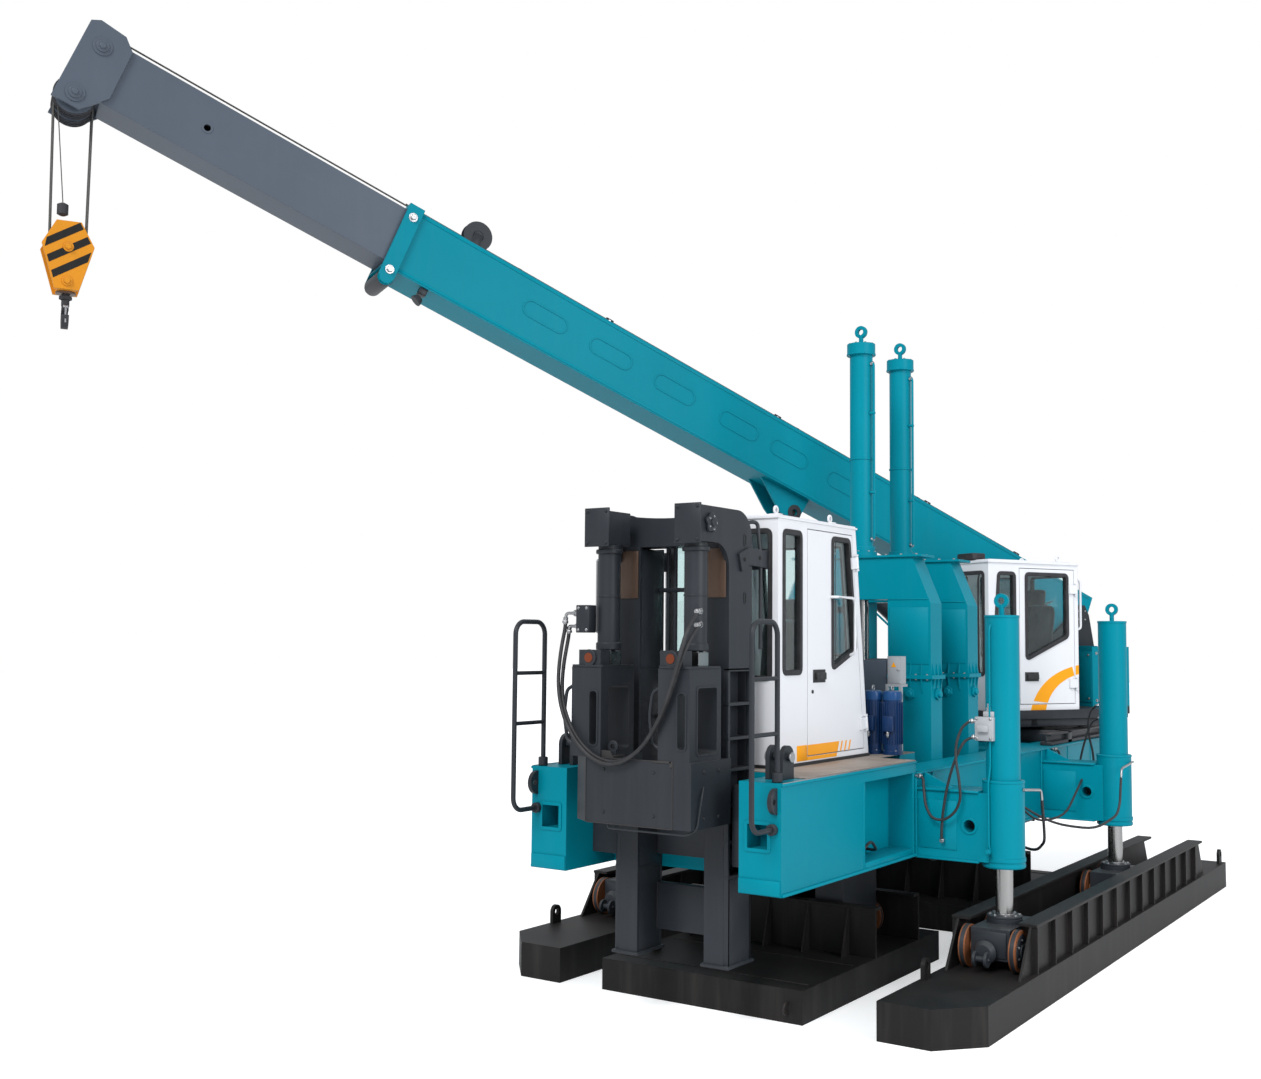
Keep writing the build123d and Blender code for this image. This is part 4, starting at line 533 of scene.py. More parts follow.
# crane: its angles at rest, its pins as y and z in the frame of the piece that holds them, and its winch
SLEW_Y, SLEW_REST, LUFF_REST = 3.0, -29.2, -22.4
BOOM_PIN, LUFF_FOOT, LUFF_EYE = (0.90, 2.91), (-0.45, 2.15), (-3.70, -0.48)
HEAD_PINS = ((-10.98, 0.155), (-11.0, -0.290))
WINCH_Y, WINCH_Z, DRUM_R, WINDS = 0.38, 2.23, 0.158, 9
CRANE = frame_at((0, SLEW_Y, 0), SLEW_REST)
BOOM = CRANE @ frame_at((0, *BOOM_PIN), 0, LUFF_REST)
HOOK = frame_at(BOOM @ Vector((0, *HEAD_PINS[1])), SLEW_REST)


# ---- front press ----

def press_column_trim():
    """Copper guide plates, webs and ties of the two columns; the arm end plates, lobed pin covers, slot rims and straps
    at their heads, with black plates and discs of painted shade for the slot openings and the strap holes; and the
    pipes between them."""
    copper, dark, black, steel = [], [], [], []
    for s in SIDES:
        copper.append(box((s * 0.285, s * 0.435), (-3.456, -3.445), (2.90, 3.235), 0.002))
        dark += [box((s * 0.268, s * 0.472), (-3.836, -3.820), (3.245, 3.512)),
                 *bolts([(s * x, -3.836, z) for x in (0.29, 0.45) for z in (3.27, 3.49)], FRONT, 0.011)]
        cover = (s * COLUMN_SIDE, SIDE_PRESS_Y, COVER_Z)
        dark += [turned([(0.052, 0), (0.062, 0.006), (0.062, 0.022), (0.052, 0.028)], cover, s * RIGHT, 60,
                        lobes=(5, 0.13)),
                 disc(0.026, 0.012, (s * 0.488, *cover[1:]), s * RIGHT)]
        steel += bolts([(s * 0.488, cover[1] + 0.045 * math.cos(a), cover[2] + 0.045 * math.sin(a))
                        for a in np.arange(5) * 2 * np.pi / 5], s * RIGHT, 0.006)
        for z in (3.30, 2.90):
            slot = oval(0.085, 0.034)[:, ::-1]
            # a thin black plate of painted shade stands in for the slot's opening
            black.append(slab(slot, (s * 0.4602, -3.235, z), BACK, UP, s * STRIPE_THICK))
            dark.append(edging(slot * (s, 1), (s * COLUMN_SIDE, -3.235, z), s * BACK, UP, (-0.008, 0.001),
                               (0, 0.004)))
        strap = [(-3.34, 3.20), (-3.20, 3.25), (-2.96, 3.24), (-2.96, 3.12), (-3.20, 3.13), (-3.30, 3.08)]
        dark += [slab(strap, (s * 0.462, 0, 0), BACK, UP, s * 0.016),
                 box((s * 0.34, s * 0.478), (-2.975, -2.945), (3.11, 3.25)),
                 *(box((s * 0.272, s * 0.46), (-3.449, -3.443), (z - 0.003, z + 0.003), 0.001) for z in (1.5, 2.18))]
        # black discs of painted shade stand in for the strap's two holes
        black += [disc(0.015, 0.003, (s * 0.478, y, z), s * RIGHT, 16) for y, z in ((-3.27, 3.165), (-3.06, 3.185))]
    dark.append(pipe([(0.40, -3.16, 3.30), (0.40, -3.09, 3.44), (0.44, -3.03, 3.44), (0.46, -3.02, 3.2),
                      (0.46, -3.02, 2.55)], 0.014, 0.09))
    for x in (-0.20, -0.14, 0.13, 0.19):
        dark.append(pipe([(x, -3.19, 1.66), (x, -3.19, 3.27)], 0.016))
        steel += fitting((x, -3.19, 2.36), UP, 0.021, 0.05)
    dark += [box((-0.272, 0.272), (-3.21, -3.17), (z, z + 0.03)) for z in (2.05, 2.95)]
    webs = []
    for s in SIDES:
        webs += [box((s * 0.272, s * 0.290), (-3.44, -3.145), (0.432, 3.25), 0.003),
                 box((s * 0.438, s * 0.459), (-3.44, -3.145), (0.432, 1.02), 0.003),
                 *(box((s * 0.42, s * 0.459), (y, y + 0.021), (0.432, 2.42), 0.003) for y in (-3.4445, -3.1615)),
                 box((s * 0.255, s * 0.475), (-3.465, -3.12), (0.432, 0.452), 0.004)]
    webs += [box((-0.28, 0.28), (-3.20, -3.145), z) for z in ((0.575, 0.90), (1.22, 1.64))]
    put_all("frame", press_column_webs=(webs, DARK), press_column_guides=(copper, COPPER),
            press_column_trim=(dark, DARK), press_column_slots=(black, SHADOW),
            press_column_fasteners=(steel, PIN_STEEL))


def short_cylinder_trim():
    """Gland rings, a side pipe, the valve block and the elbows of the two short press cylinders."""
    dark, steel = [], []
    for s in SIDES:
        at = (s * SIDE_PRESS_X, SIDE_PRESS_Y)
        dark += [ring(0.05, 0.088, 0.055, (*at, 2.536)), ring(0.07, 0.094, 0.03, (*at, 3.20)),
                 ring(0.077, 0.083, 0.012, (*at, 2.9))]
        steel += [*bolts(circle_of(8, 0.067, (*at, 2.536), UP), DOWN, 0.007), ring(0.044, 0.052, 0.012, (*at, 2.526))]
    steel += [pipe([(-0.43, -3.71, 3.16), (-0.452, -3.71, 3.16), (-0.452, -3.71, 2.66), (-0.43, -3.71, 2.66)], 0.008,
                   0.02),
              *bolts([(x, -3.84, z) for x in (-0.515, -0.445) for z in (2.675, 2.825)], FRONT, 0.008),
              pipe([(-0.53, -3.80, 2.79), (-0.653, -3.80, 2.79), (-0.653, -3.80, 2.73)], 0.011, 0.035),
              pipe([(-0.53, -3.775, 2.70), (-0.64, -3.775, 2.70), (-0.64, -3.775, 2.685)], 0.011, 0.012),
              *fitting((-0.535, -3.80, 2.79), LEFT, 0.018, 0.05), *fitting((-0.535, -3.775, 2.70), LEFT, 0.018, 0.05),
              *fitting((-0.653, -3.80, 2.765), (-0.05, -0.1, -1), 0.017, 0.05),
              *fitting((-0.640, -3.775, 2.70), (-0.05, -0.05, -1), 0.017, 0.05)]
    dark.append(box((-0.535, -0.425), (-3.84, -3.755), (2.655, 2.845)))
    for z in (2.80, 2.712):
        steel += [pipe([(0.40, -3.755, z), (0.45, -3.765, z), (0.452, -3.84, z)], 0.012, 0.03),
                  *fitting((0.452, -3.855, z - 0.004), (0.03, 1, 0.02), 0.017, 0.045),
                  disc(0.024, 0.02, (0.415, -3.755, z), RIGHT, 6)]
    put_all("frame", short_cylinder_trim=(dark, DARK), short_cylinder_fittings=(steel, PIN_STEEL))


def carriage_trim():
    """Post plates, handles, lens caps, slot frames, skirt plates and the pipe loop under the carriage's skirt."""
    dark, orange, steel, pale = [], [], [], []
    plate = round_outline([(0.226, -3.962), (0.481, -3.962), (0.481, -3.565), (0.226, -3.565)], 0.035)
    for s in SIDES:
        dark += [slab(plate * (s, 1), (0, 0, 2.425), RIGHT, BACK, 0.014),
                 disc(0.056, 0.014, (s * 0.33, -3.950, 2.487), FRONT, 32)]
        orange.append(disc(0.033, 0.004, (s * 0.33, -3.964, 2.487), FRONT, 32))
        edge = -0.475 if s < 0 else 0.230
        dark += [pipe([(edge + 0.01, -3.935, 2.30), (edge - 0.055, -3.935, 2.27), (edge - 0.075, -3.94, 2.10),
                       (edge - 0.045, -3.94, 1.93), (edge + 0.01, -3.935, 1.90)], 0.012, 0.06),
                 ring(0.043, 0.058, 0.02, (s * SIDE_PRESS_X, SIDE_PRESS_Y, 2.53))]
        steel += bolts([(s * x, SIDE_PRESS_Y + d, 2.53) for x in (0.317, 0.393) for d in (-0.04, 0.04)], UP, 0.008)
        left = 0.381 if s > 0 else -0.324
        slot = round_outline([(left, 1.905), (left + 0.062, 1.905), (left + 0.062, 2.265), (left, 2.265)], 0.025)
        dark += [edging(slot, (0, CARRIAGE_FACE, 0), RIGHT, UP, (-0.010, 0.002), (-0.002, 0.005)),
                 edging(round_outline([(-3.87, 1.865), (-3.62, 1.865), (-3.62, 2.305), (-3.87, 2.305)], 0.03),
                        (s * 0.475, 0, 0), BACK, UP, (-0.007, 0.007), (-0.003, 0.004) if s > 0 else (-0.004, 0.003))]
    front = round_outline([(-0.345, 1.398), (0.345, 1.398), (0.345, 1.822), (-0.345, 1.822)], 0.008, 3)
    pale += [edging(front, (0, CARRIAGE_FACE, 0), RIGHT, UP, (-0.006, 0.001), (0.0, 0.003)),
             box((0.19, 0.34), (-3.962, -3.952), (1.815, 1.829), 0.002),
             box((0.325, 0.345), (-3.962, -3.952), (1.79, 1.829), 0.002),
             slab([(0, 0), (0.30, -0.012), (0.27, 0.045), (0.005, 0.055)], (-0.43, -3.93, 1.826), RIGHT, UP, 0.012),
             box((-0.43, -0.14), (-3.93, -3.80), (1.825, 1.84), 0.003)]
    dark += [ring(0.018, 0.042, 0.018, (-0.175, -3.875, 1.895), FRONT),
             box((-0.20, -0.15), (-3.893, -3.875), (1.825, 1.87), 0.003),
             pipe([(-0.18, -3.93, 1.402), (-0.18, -3.93, 1.362), (0.44, -3.93, 1.362), (0.50, -3.90, 1.40),
                   (0.515, -3.86, 1.62), (0.485, -3.80, 1.66)], 0.0065, 0.03),
             *bolts([(x, CARRIAGE_FACE, z) for x in (-0.20, 0.20) for z in (1.47, 1.75)], FRONT, 0.009)]
    steel.append(pipe([(-0.17, -3.94, 1.409), (-0.10, -3.95, 1.409)], 0.005))
    for s in SIDES:
        dark += bolts([(s * 0.488, y, z) for y in (-3.80, -3.62) for z in (1.46, 1.76)], s * RIGHT, 0.011)
    put_all("carriage", carriage_trim=(dark, DARK), carriage_lens_caps=(orange, LENS),
            carriage_fasteners=(steel, PIN_STEEL), carriage_skirt_plates=(pale, WORN_GREY))


# ---- beams, deck and outriggers ----

def beam_trim():
    """Lips and seams of the girders, the alcove in each with its hose, fittings at beam ends, and outrigger plates,
    with a black disc of painted shade in the hole of each outrigger.
    """
    teal, dark, steel, black = [], [], [], []
    for s in SIDES:
        out = s * GIRDER_OUT
        teal += [box((out, out + s * 0.014), (-3.71, -1.60), (1.690, 1.708), 0.003),
                 box((out, out + s * 0.014), (-1.60, 3.74), (1.605, 1.623), 0.003),
                 box((out, out + s * 0.014), (-3.70, 3.74), (GIRDER_FOOT, 1.02), 0.003),
                 box((out - s * 0.2, out + s * 0.004), (-2.515, -2.493), (GIRDER_FOOT, 1.62), 0.003),
                 box((out - s * 0.2, out + s * 0.004), (-1.657, -1.635), (GIRDER_FOOT, 1.62), 0.003),
                 *(box((out, out + s * 0.005), (y - 0.006, y + 0.006), (1.02, 1.60), 0.002)
                   for y in (0.05, 0.75, 2.10, 2.85)),
                 box((out - s * 0.2, out), (-2.492, -1.658), (GIRDER_FOOT, 1.06), 0.005),
                 box((out - s * 0.2, out - s * 0.192), (-2.10, -2.088), (1.06, 1.62), 0.002),
                 box((s * 0.70, s * 1.0), (-3.722, -3.708), (1.005, 1.10), 0.004)]
        steel += [box((out, out + s * 0.011), (-3.70, -1.62), (1.708, 1.713), 0.001),
                  *(disc(0.034, 0.012, (s * 0.8515 + e * 0.085, -3.45, 1.855), e * RIGHT, 20) for e in SIDES)]
        black.append(pipe([(out - s * 0.195, -2.36, 1.12), (out - s * 0.09, -2.34, 1.12),
                           (out - s * 0.08, -2.22, 1.18), (out - s * 0.10, -2.08, 1.09),
                           (out - s * 0.195, -2.06, 1.09)], 0.011, 0.09))
        dark += [ring(0.018, 0.034, 0.06, (s * 0.95, -3.66, BEAM_TOP)),
                 ring(0.017, 0.036, 0.04, (s * 0.95, -3.75, 1.42), BACK)]
        frame_in = round_outline([(0.75, 1.28), (0.92, 1.28), (0.92, 1.455), (0.75, 1.455)], 0.012, 3) * (s, 1)
        teal.append(edging(frame_in, (0, BEAM_FACE, 0), RIGHT, UP, (-0.012, 0.012), (-0.002, 0.006)))
        for e in SIDES:
            y = e * LEG_Y
            teal += [box((out, s * 1.50), (y - 0.168, y + 0.168), z, 0.004) for z in ((1.498, 1.514), (0.990, 1.006))]
            for f in SIDES:
                face = y + f * 0.15
                teal += [box((s * 1.03, s * 1.33), (face, face + f * 0.006), (1.07, 1.43), 0.006),
                         ring(0.045, 0.062, 0.008, (s * 1.428, face, 1.255), f * BACK),
                         box((out, s * 1.022), (face, face + f * 0.024), (GIRDER_FOOT, 1.60), 0.003)]
            teal.append(slab([(0, 0), (0.24, 0), (0, 0.11)], (out, y - 0.008, 1.512), s * RIGHT, UP, -0.016 * s))
            # a black disc of painted shade fills the outrigger's hole between its rims
            black.append(disc(0.044, 0.01, (s * 1.428, y - 0.005, 1.255), BACK))
    put_all("frame", beam_trim=(teal, TEAL), beam_sockets=(dark, DARK), beam_pins=(steel, PIN_STEEL),
            beam_cables=(black, RUBBER))


def travel_cylinders():
    """The cylinder under each girder that walks the pontoons, with its collar, ports and the pipes that run aft."""
    dark, red, steel = [], [], []
    for s in SIDES:
        x, z = s * 0.86, 0.925
        dark.append(turned([(0.05, 0), (0.062, 0.02), (0.062, 0.10), (0.052, 0.12), (0.052, 1.30), (0.06, 1.32),
                            (0.06, 1.40), (0.05, 1.42)], (x, -0.95, z), BACK, 28))
        red.append(ring(0.05, 0.066, 0.05, (x, 0.42, z), BACK))
        steel.append(turned([(0.03, 0), (0.03, 0.55)], (x, 0.46, z), BACK, 20))
        for y in (-0.88, 0.30):
            steel += fitting((x, y, 0.97), UP, 0.018, 0.05)
            dark.append(box((s * 0.80, s * 0.92), (y - 0.03, y + 0.03), (0.96, 1.0)))
        dark += [box((s * 0.82, s * 0.90), (1.00, 1.06), (0.88, 1.0)),
                 *(box((s * 0.935, s * 1.0), (y, y + 0.03), (0.973, 1.0), 0.002) for y in (0.0, 1.1, 2.3, 3.4))]
        steel += [pipe([(s * (0.95 + 0.018 * n), -0.6, 0.985), (s * (0.95 + 0.018 * n), 3.55, 0.985)], 0.007)
                  for n in range(3)]
    put_all("frame", travel_cylinders=(dark, DARK), travel_cylinder_collars=(red, RED_PAINT),
            travel_cylinder_ports=(steel, PIN_STEEL))


def leg_cylinder_trim():
    """Rims, cap bolts, side pipe, valve block and hose loops of each leg cylinder, made for one leg and mirrored."""
    teal, grey, steel, black = [], [], [], []
    for s in SIDES:
        for e in SIDES:
            at = (s * LEG_X, e * LEG_Y)
            corner, signs = (*at, 0), (s, -e, 1)
            teal += [ring(BARREL_R - 0.002, SLEEVE_R + 0.004, 0.022, (*at, 1.574)),
                     ring(SLEEVE_R - 0.002, SLEEVE_R + 0.007, 0.03, (*at, 1.005)),
                     ring(0.066, SLEEVE_R + 0.005, 0.028, (*at, 0.962)),
                     ring(BARREL_R - 0.006, BARREL_R + 0.004, 0.02, (*at, 2.792))]
            steel += bolts(circle_of(8, 0.115, (*at, 0.962)), DOWN, 0.010)
            made = [pipe([(-0.045, -0.118, 2.74), (-0.05, -0.136, 2.70), (-0.05, -0.136, 1.70),
                          (-0.055, -0.165, 1.58), (-0.055, -0.165, 1.13), (-0.05, -0.152, 1.085)], 0.008, 0.03)]
            made += fitting((-0.05, -0.172, 1.084), FRONT, 0.018, 0.05)
            teal += mirrored(made, signs, corner)
            made = [box((-0.156, -0.016), (-0.165, -0.100), (1.885, 2.06)),
                    box((-0.13, -0.05), (-0.195, -0.16), (1.95, 2.0)),
                    box((-0.10, -0.02), (-0.14, -0.10), (2.06, 2.10))]
            grey += mirrored(made, signs, corner)
            made = [*fitting((-0.140, -0.150, 2.026), (-1, -0.05, 0), 0.016, 0.055),
                    *fitting((-0.140, -0.150, 1.909), (-1, -0.05, 0), 0.016, 0.04)]
            made += [*bolts([(x, -0.165, z) for x in (-0.14, -0.035) for z in (1.90, 2.045)], FRONT, 0.008),
                     turned([(0.02, 0), (0.02, 0.03), (0.014, 0.035), (0.014, 0.06)], (-0.06, -0.12, 2.098), UP, 6),
                     *fitting((-0.629, -0.163, 1.598), RIGHT, 0.016, 0.05),
                     *fitting((-0.407, -0.155, 1.138), FRONT, 0.016, 0.05),
                     pipe([(0.164, -0.026, 1.533), (0.164, 0.355, 1.50), (0.164, 0.375, 1.423)], 0.010, 0.05)]
            steel += mirrored(made, signs, corner)
            loops = [pipe([(0.164, 0.375, 1.42), (0.164, 0.42, 1.20), (0.15, 0.47, 1.10), (0.02, 0.66, 0.99),
                           (-0.30, 0.86, 1.03), (-0.62, 0.95, 1.22)], 0.011, 0.3),
                     pipe([(-0.25, 0.15, 1.36), (-0.25, 0.26, 1.30), (-0.30, 0.50, 1.06), (-0.48, 0.72, 1.02),
                           (-0.62, 0.80, 1.16)], 0.010, 0.25)]
            black += mirrored(loops, signs, corner)
    put_all("frame", leg_return_hoses=(black, RUBBER), leg_cylinder_rims=(teal, TEAL),
            leg_valve_blocks=(grey, CABINET), leg_cylinder_fittings=(steel, PIN_STEEL))


# ---- main press gantry ----

def flange_ribs(places, outward, rise, thick):
    """Three-cornered ribs that stand outward from the columns, over and under the flange."""
    return [slab([(0, 0), (0.022, 0), (0, tip)], (x, y, height), outward, UP, thick)
            for x, y in places for height, tip in ((FLANGE_TOP, rise), (FLANGE_FOOT, -rise))]


def gantry_trim():
    """Flange bolts and ribs, seams, raised plates and bosses of the gantry's columns, and the clamp's guides."""
    teal, dark, steel = [], [], []
    for s in SIDES:
        for e in SIDES:
            y = e * PORTAL_Y
            for height, way in ((FLANGE_TOP, UP), (FLANGE_FOOT, DOWN)):
                steel += bolts([(s * x, y + d, height) for x in (0.36, 0.46, 0.56, 0.66) for d in (-0.131, 0.131)],
                               way, 0.009)
            for f in SIDES:
                face = y + f * 0.12
                teal += [*flange_ribs([(s * x - 0.005, face) for x in (0.41, 0.51, 0.61)], f * BACK, 0.12, 0.010 * f),
                         box((s * 0.30, s * 0.665), (face, face + f * 0.005), (2.965, 2.975), 0.002),
                         box((s * 0.32, s * 0.67), (face, face + f * 0.004), (2.42, 2.90), 0.003)]
            teal += [*flange_ribs([(s * 0.69, y + d - 0.005) for d in (-0.08, 0, 0.08)], s * RIGHT, 0.10, -0.010 * s),
                     *stepped((s * 0.69, y, 2.17), s * RIGHT, (0.052, 0.022, 6), (0.032, 0.045, 20))]
            for f in SIDES:
                teal += stepped((s * 0.50, y + f * 0.12, 2.17), f * BACK, (0.05, 0.022, 6), (0.03, 0.045, 20))
        dark += [box((s * 0.297, s * 0.345), (-0.06, 0.06), (1.53, 3.0)),
                 *(box((s * 0.30, s * 0.33), (-0.30, 0.30), (z, z + 0.06)) for z in (1.62, 2.2, 2.86))]
    for e in SIDES:
        steel += bolts([(x, e * PORTAL_Y + d, 3.35) for x in (-0.56, -0.42, -0.28, 0.28, 0.42, 0.56)
                        for d in (-0.11, 0.11)], UP, 0.011)
    dark += [ring(0.035, 0.062, 0.022, (-0.50, 0.43, 3.44), FRONT),
             box((-0.525, -0.475), (0.405, 0.435), (3.35, 3.395))]
    put_all("frame", gantry_trim=(teal, TEAL), gantry_guides=(dark, DARK), gantry_bolts=(steel, PIN_STEEL))


def press_cylinder_trim():
    """Cap bolts, collars, side pipe and foot bolts of the two tall press cylinders, and the clamp's plates."""
    teal, steel = [], []
    for e in SIDES:
        y = e * PORTAL_Y
        teal += [ring(0.098, 0.118, 0.05, (0, y, 3.388)), ring(0.098, 0.106, 0.018, (0, y, 4.2)),
                 ring(0.1, 0.128, 0.02, (0, y, 5.132)),
                 pipe([(0.09, y - 0.02, 5.05), (0.135, y - 0.03, 5.05), (0.135, y - 0.03, 3.50),
                       (0.09, y - 0.02, 3.50)], 0.011, 0.03),
                 *(box((0.095, 0.145), (y - 0.045, y - 0.015), (z, z + 0.02), 0.002) for z in (3.9, 4.6))]
        steel += [*bolts(circle_of(8, 0.105, (0, y, 5.235)), UP, 0.010),
                  *bolts(circle_of(8, 0.119, (0, y, 3.39), start=0.2), UP, 0.009),
                  *fitting((0.10, y - 0.02, 5.05), RIGHT, 0.018, 0.03),
                  *fitting((0.10, y - 0.02, 3.50), RIGHT, 0.018, 0.03)]
    put_all("frame", press_cylinder_trim=(teal, TEAL), press_cylinder_bolts=(steel, PIN_STEEL))
    clamp, bright = [], []
    for s in SIDES:
        for z in (1.80, 2.02, 2.24):
            clamp += [box((s * 0.285, s * 0.293), (-0.27, 0.27), (z, z + 0.018), 0.002),
                      box((-0.28, 0.28), (s * 0.290, s * 0.298), (z, z + 0.018), 0.002)]
        bright += bolts([(s * 0.293, y, z + 0.009) for y in (-0.24, 0.24) for z in (1.80, 2.02, 2.24)], s * RIGHT,
                        0.008)
    put_all("clamp", clamp_plates=(clamp, BOOM_GREY), clamp_bolts=(bright, PIN_STEEL))


# ---- cabs ----

def rim(outline, at, right, up):
    """A rubber frame round a window: a lip on the face and a lining through the wall, from the window's own outline."""
    outline = np.asarray(outline, float)
    turn = np.sum(outline[:, 0] * np.roll(outline[:, 1], -1) - np.roll(outline[:, 0], -1) * outline[:, 1])
    edge = round_outline(outline[::1 if turn > 0 else -1], 0.03)
    lip, lining = ((-0.026, 0.010), (-0.001, 0.008)), ((-0.006, 0.012), (-0.04, 0.0))
    return [edging(edge, at, right, up, width, height) for width, height in (lip, lining)]


def rear_y(z):
    """Where the press cab's slanted back is at height z."""
    (low_y, low_z), (high_y, high_z) = REAR_FOOT, REAR_TOP
    return low_y + (z - low_z) * (high_y - low_y) / (high_z - low_z)


NARROW = [(-2.84, 2.39), (-2.60, 2.39), (-2.60, 3.38), (-2.84, 3.38)]
DOOR_WINDOW = [(-2.078, 2.415), (-1.70, 2.55), (-1.81, 3.375), (-2.078, 3.375)]
WIDE = [(-0.33, 2.35), (0.48, 2.35), (0.48, 3.38), (-0.33, 3.38)]
SMALL = [(-0.985, 2.25), (-0.72, 2.25), (-0.72, 3.285), (-0.905, 3.285)]
CRANE_PANE = [(-0.552, 2.455), (-0.03, 2.677), (-0.03, 3.285), (-0.552, 3.285)]
CRANE_WIDE = [(0.40, 2.30), (0.97, 2.30), (0.97, 3.29), (0.40, 3.29)]


def roof_eye(x, y, z):
    """A small lifting ring on a foot plate."""
    return [box((x - 0.04, x + 0.04), (y - 0.03, y + 0.03), (z, z + 0.008), 0.002),
            ring(0.016, 0.032, 0.014, (x - 0.007, y, z + 0.036), RIGHT)]


def press_cab_trim():
    """Window rubbers, gutter, roof plate, eyes, foot seal, wiper and stripe of the press cab; its door's fittings."""
    left, right, front = PRESS_CAB.values()
    frames, white, orange = [], [], []
    frames += rim(NARROW, (right, 0, 0), BACK, UP)
    for outline in (NARROW, DOOR_WINDOW):
        frames += rim([(-y, z) for y, z in outline], (left, 0, 0), FRONT, UP)
    frames += rim(WIDE, (0, front, 0), RIGHT, UP)
    low, high = 2.5, 3.35
    slope = np.array([0, rear_y(high) - rear_y(low), high - low])
    reach = np.linalg.norm(slope)
    frames += rim([(-0.43, 0), (0.28, 0), (0.28, reach), (-0.43, reach)], (0, rear_y(low), low), LEFT, slope)
    roof = [(left, front), (right, front), (right, REAR_TOP[0]), (left, REAR_TOP[0])]
    white += [edging(roof, (0, 0, 3.475), RIGHT, BACK, (-0.012, 0.002), (0, 0.014)),
              box((-0.34, 0.49), (-2.87, -1.75), (3.499, 3.512), 0.006)]
    foot = [(left, front), (right, front), (right, -1.47), (left, -1.47)]
    frames.append(edging(foot, (0, 0, DECK_TOP + 0.001), RIGHT, BACK, (-0.010, 0.002), (0, 0.022)))
    for x in (-0.30, 0.46):
        for y in (-2.80, -1.95):
            white += roof_eye(x, y, 3.51)
    orange += [box((right, right + STRIPE_THICK), (-2.65, -2.492), (1.748, 1.86), 0.0005),
               slab([(-2.49, 1.748), (-2.02, 1.748), (-2.01, 1.7745), (-2.49, 1.7745)], (right, 0, 0), BACK, UP,
                    STRIPE_THICK)]
    frames += [box((0.06, 0.10), (-2.945, -2.93), (2.29, 2.335)),
               pipe([(0.08, -2.945, 2.32), (0.08, -2.952, 2.40), (0.30, -2.952, 3.02)], 0.007, 0.03),
               box((0.294, 0.306), (-2.950, -2.936), (2.72, 3.28))]
    put_all("frame", press_cab_seals=(frames, RUBBER), press_cab_roof_trim=(white, WHITE),
            press_cab_stripe=(orange, STRIPE))
    seals = rim(DOOR_WINDOW, (right, 0, 0), BACK, UP)
    seals += [box((0.556, 0.580), (-2.375, -2.235), (2.326, 2.378), 0.008),
              box((0.549, 0.556), (-2.40, -2.21), (2.305, 2.40), 0.004),
              box((0.5495, 0.5525), (-2.035, -2.029), (2.43, 3.37), 0.001)]
    bar = pipe([(0.545, -2.12, 2.94), (0.60, -2.12, 2.94), (0.60, -1.80, 2.94), (0.60, -1.80, 2.52),
                (0.545, -1.80, 2.50)], 0.011, 0.06)
    put("press_door_grab_rail", [bar], WHITE, "press_door")
    seals.append(disc(0.014, 0.006, (right, -2.41, 2.24), RIGHT, 16))
    put("press_door_seals", seals, RUBBER, "press_door")
    stripes = [[(-2.483, 1.783), (-2.005, 1.783), (-1.975, 1.858), (-2.483, 1.858)]]
    stripes += [[(y, 1.783), (y + 0.022, 1.783), (y + 0.052, 1.858), (y + 0.030, 1.858)]
                for y in (-1.965, -1.895, -1.825)]
    put("press_door_stripe", [slab(stripe, (right, 0, 0), BACK, UP, STRIPE_THICK) for stripe in stripes], STRIPE,
        "press_door")


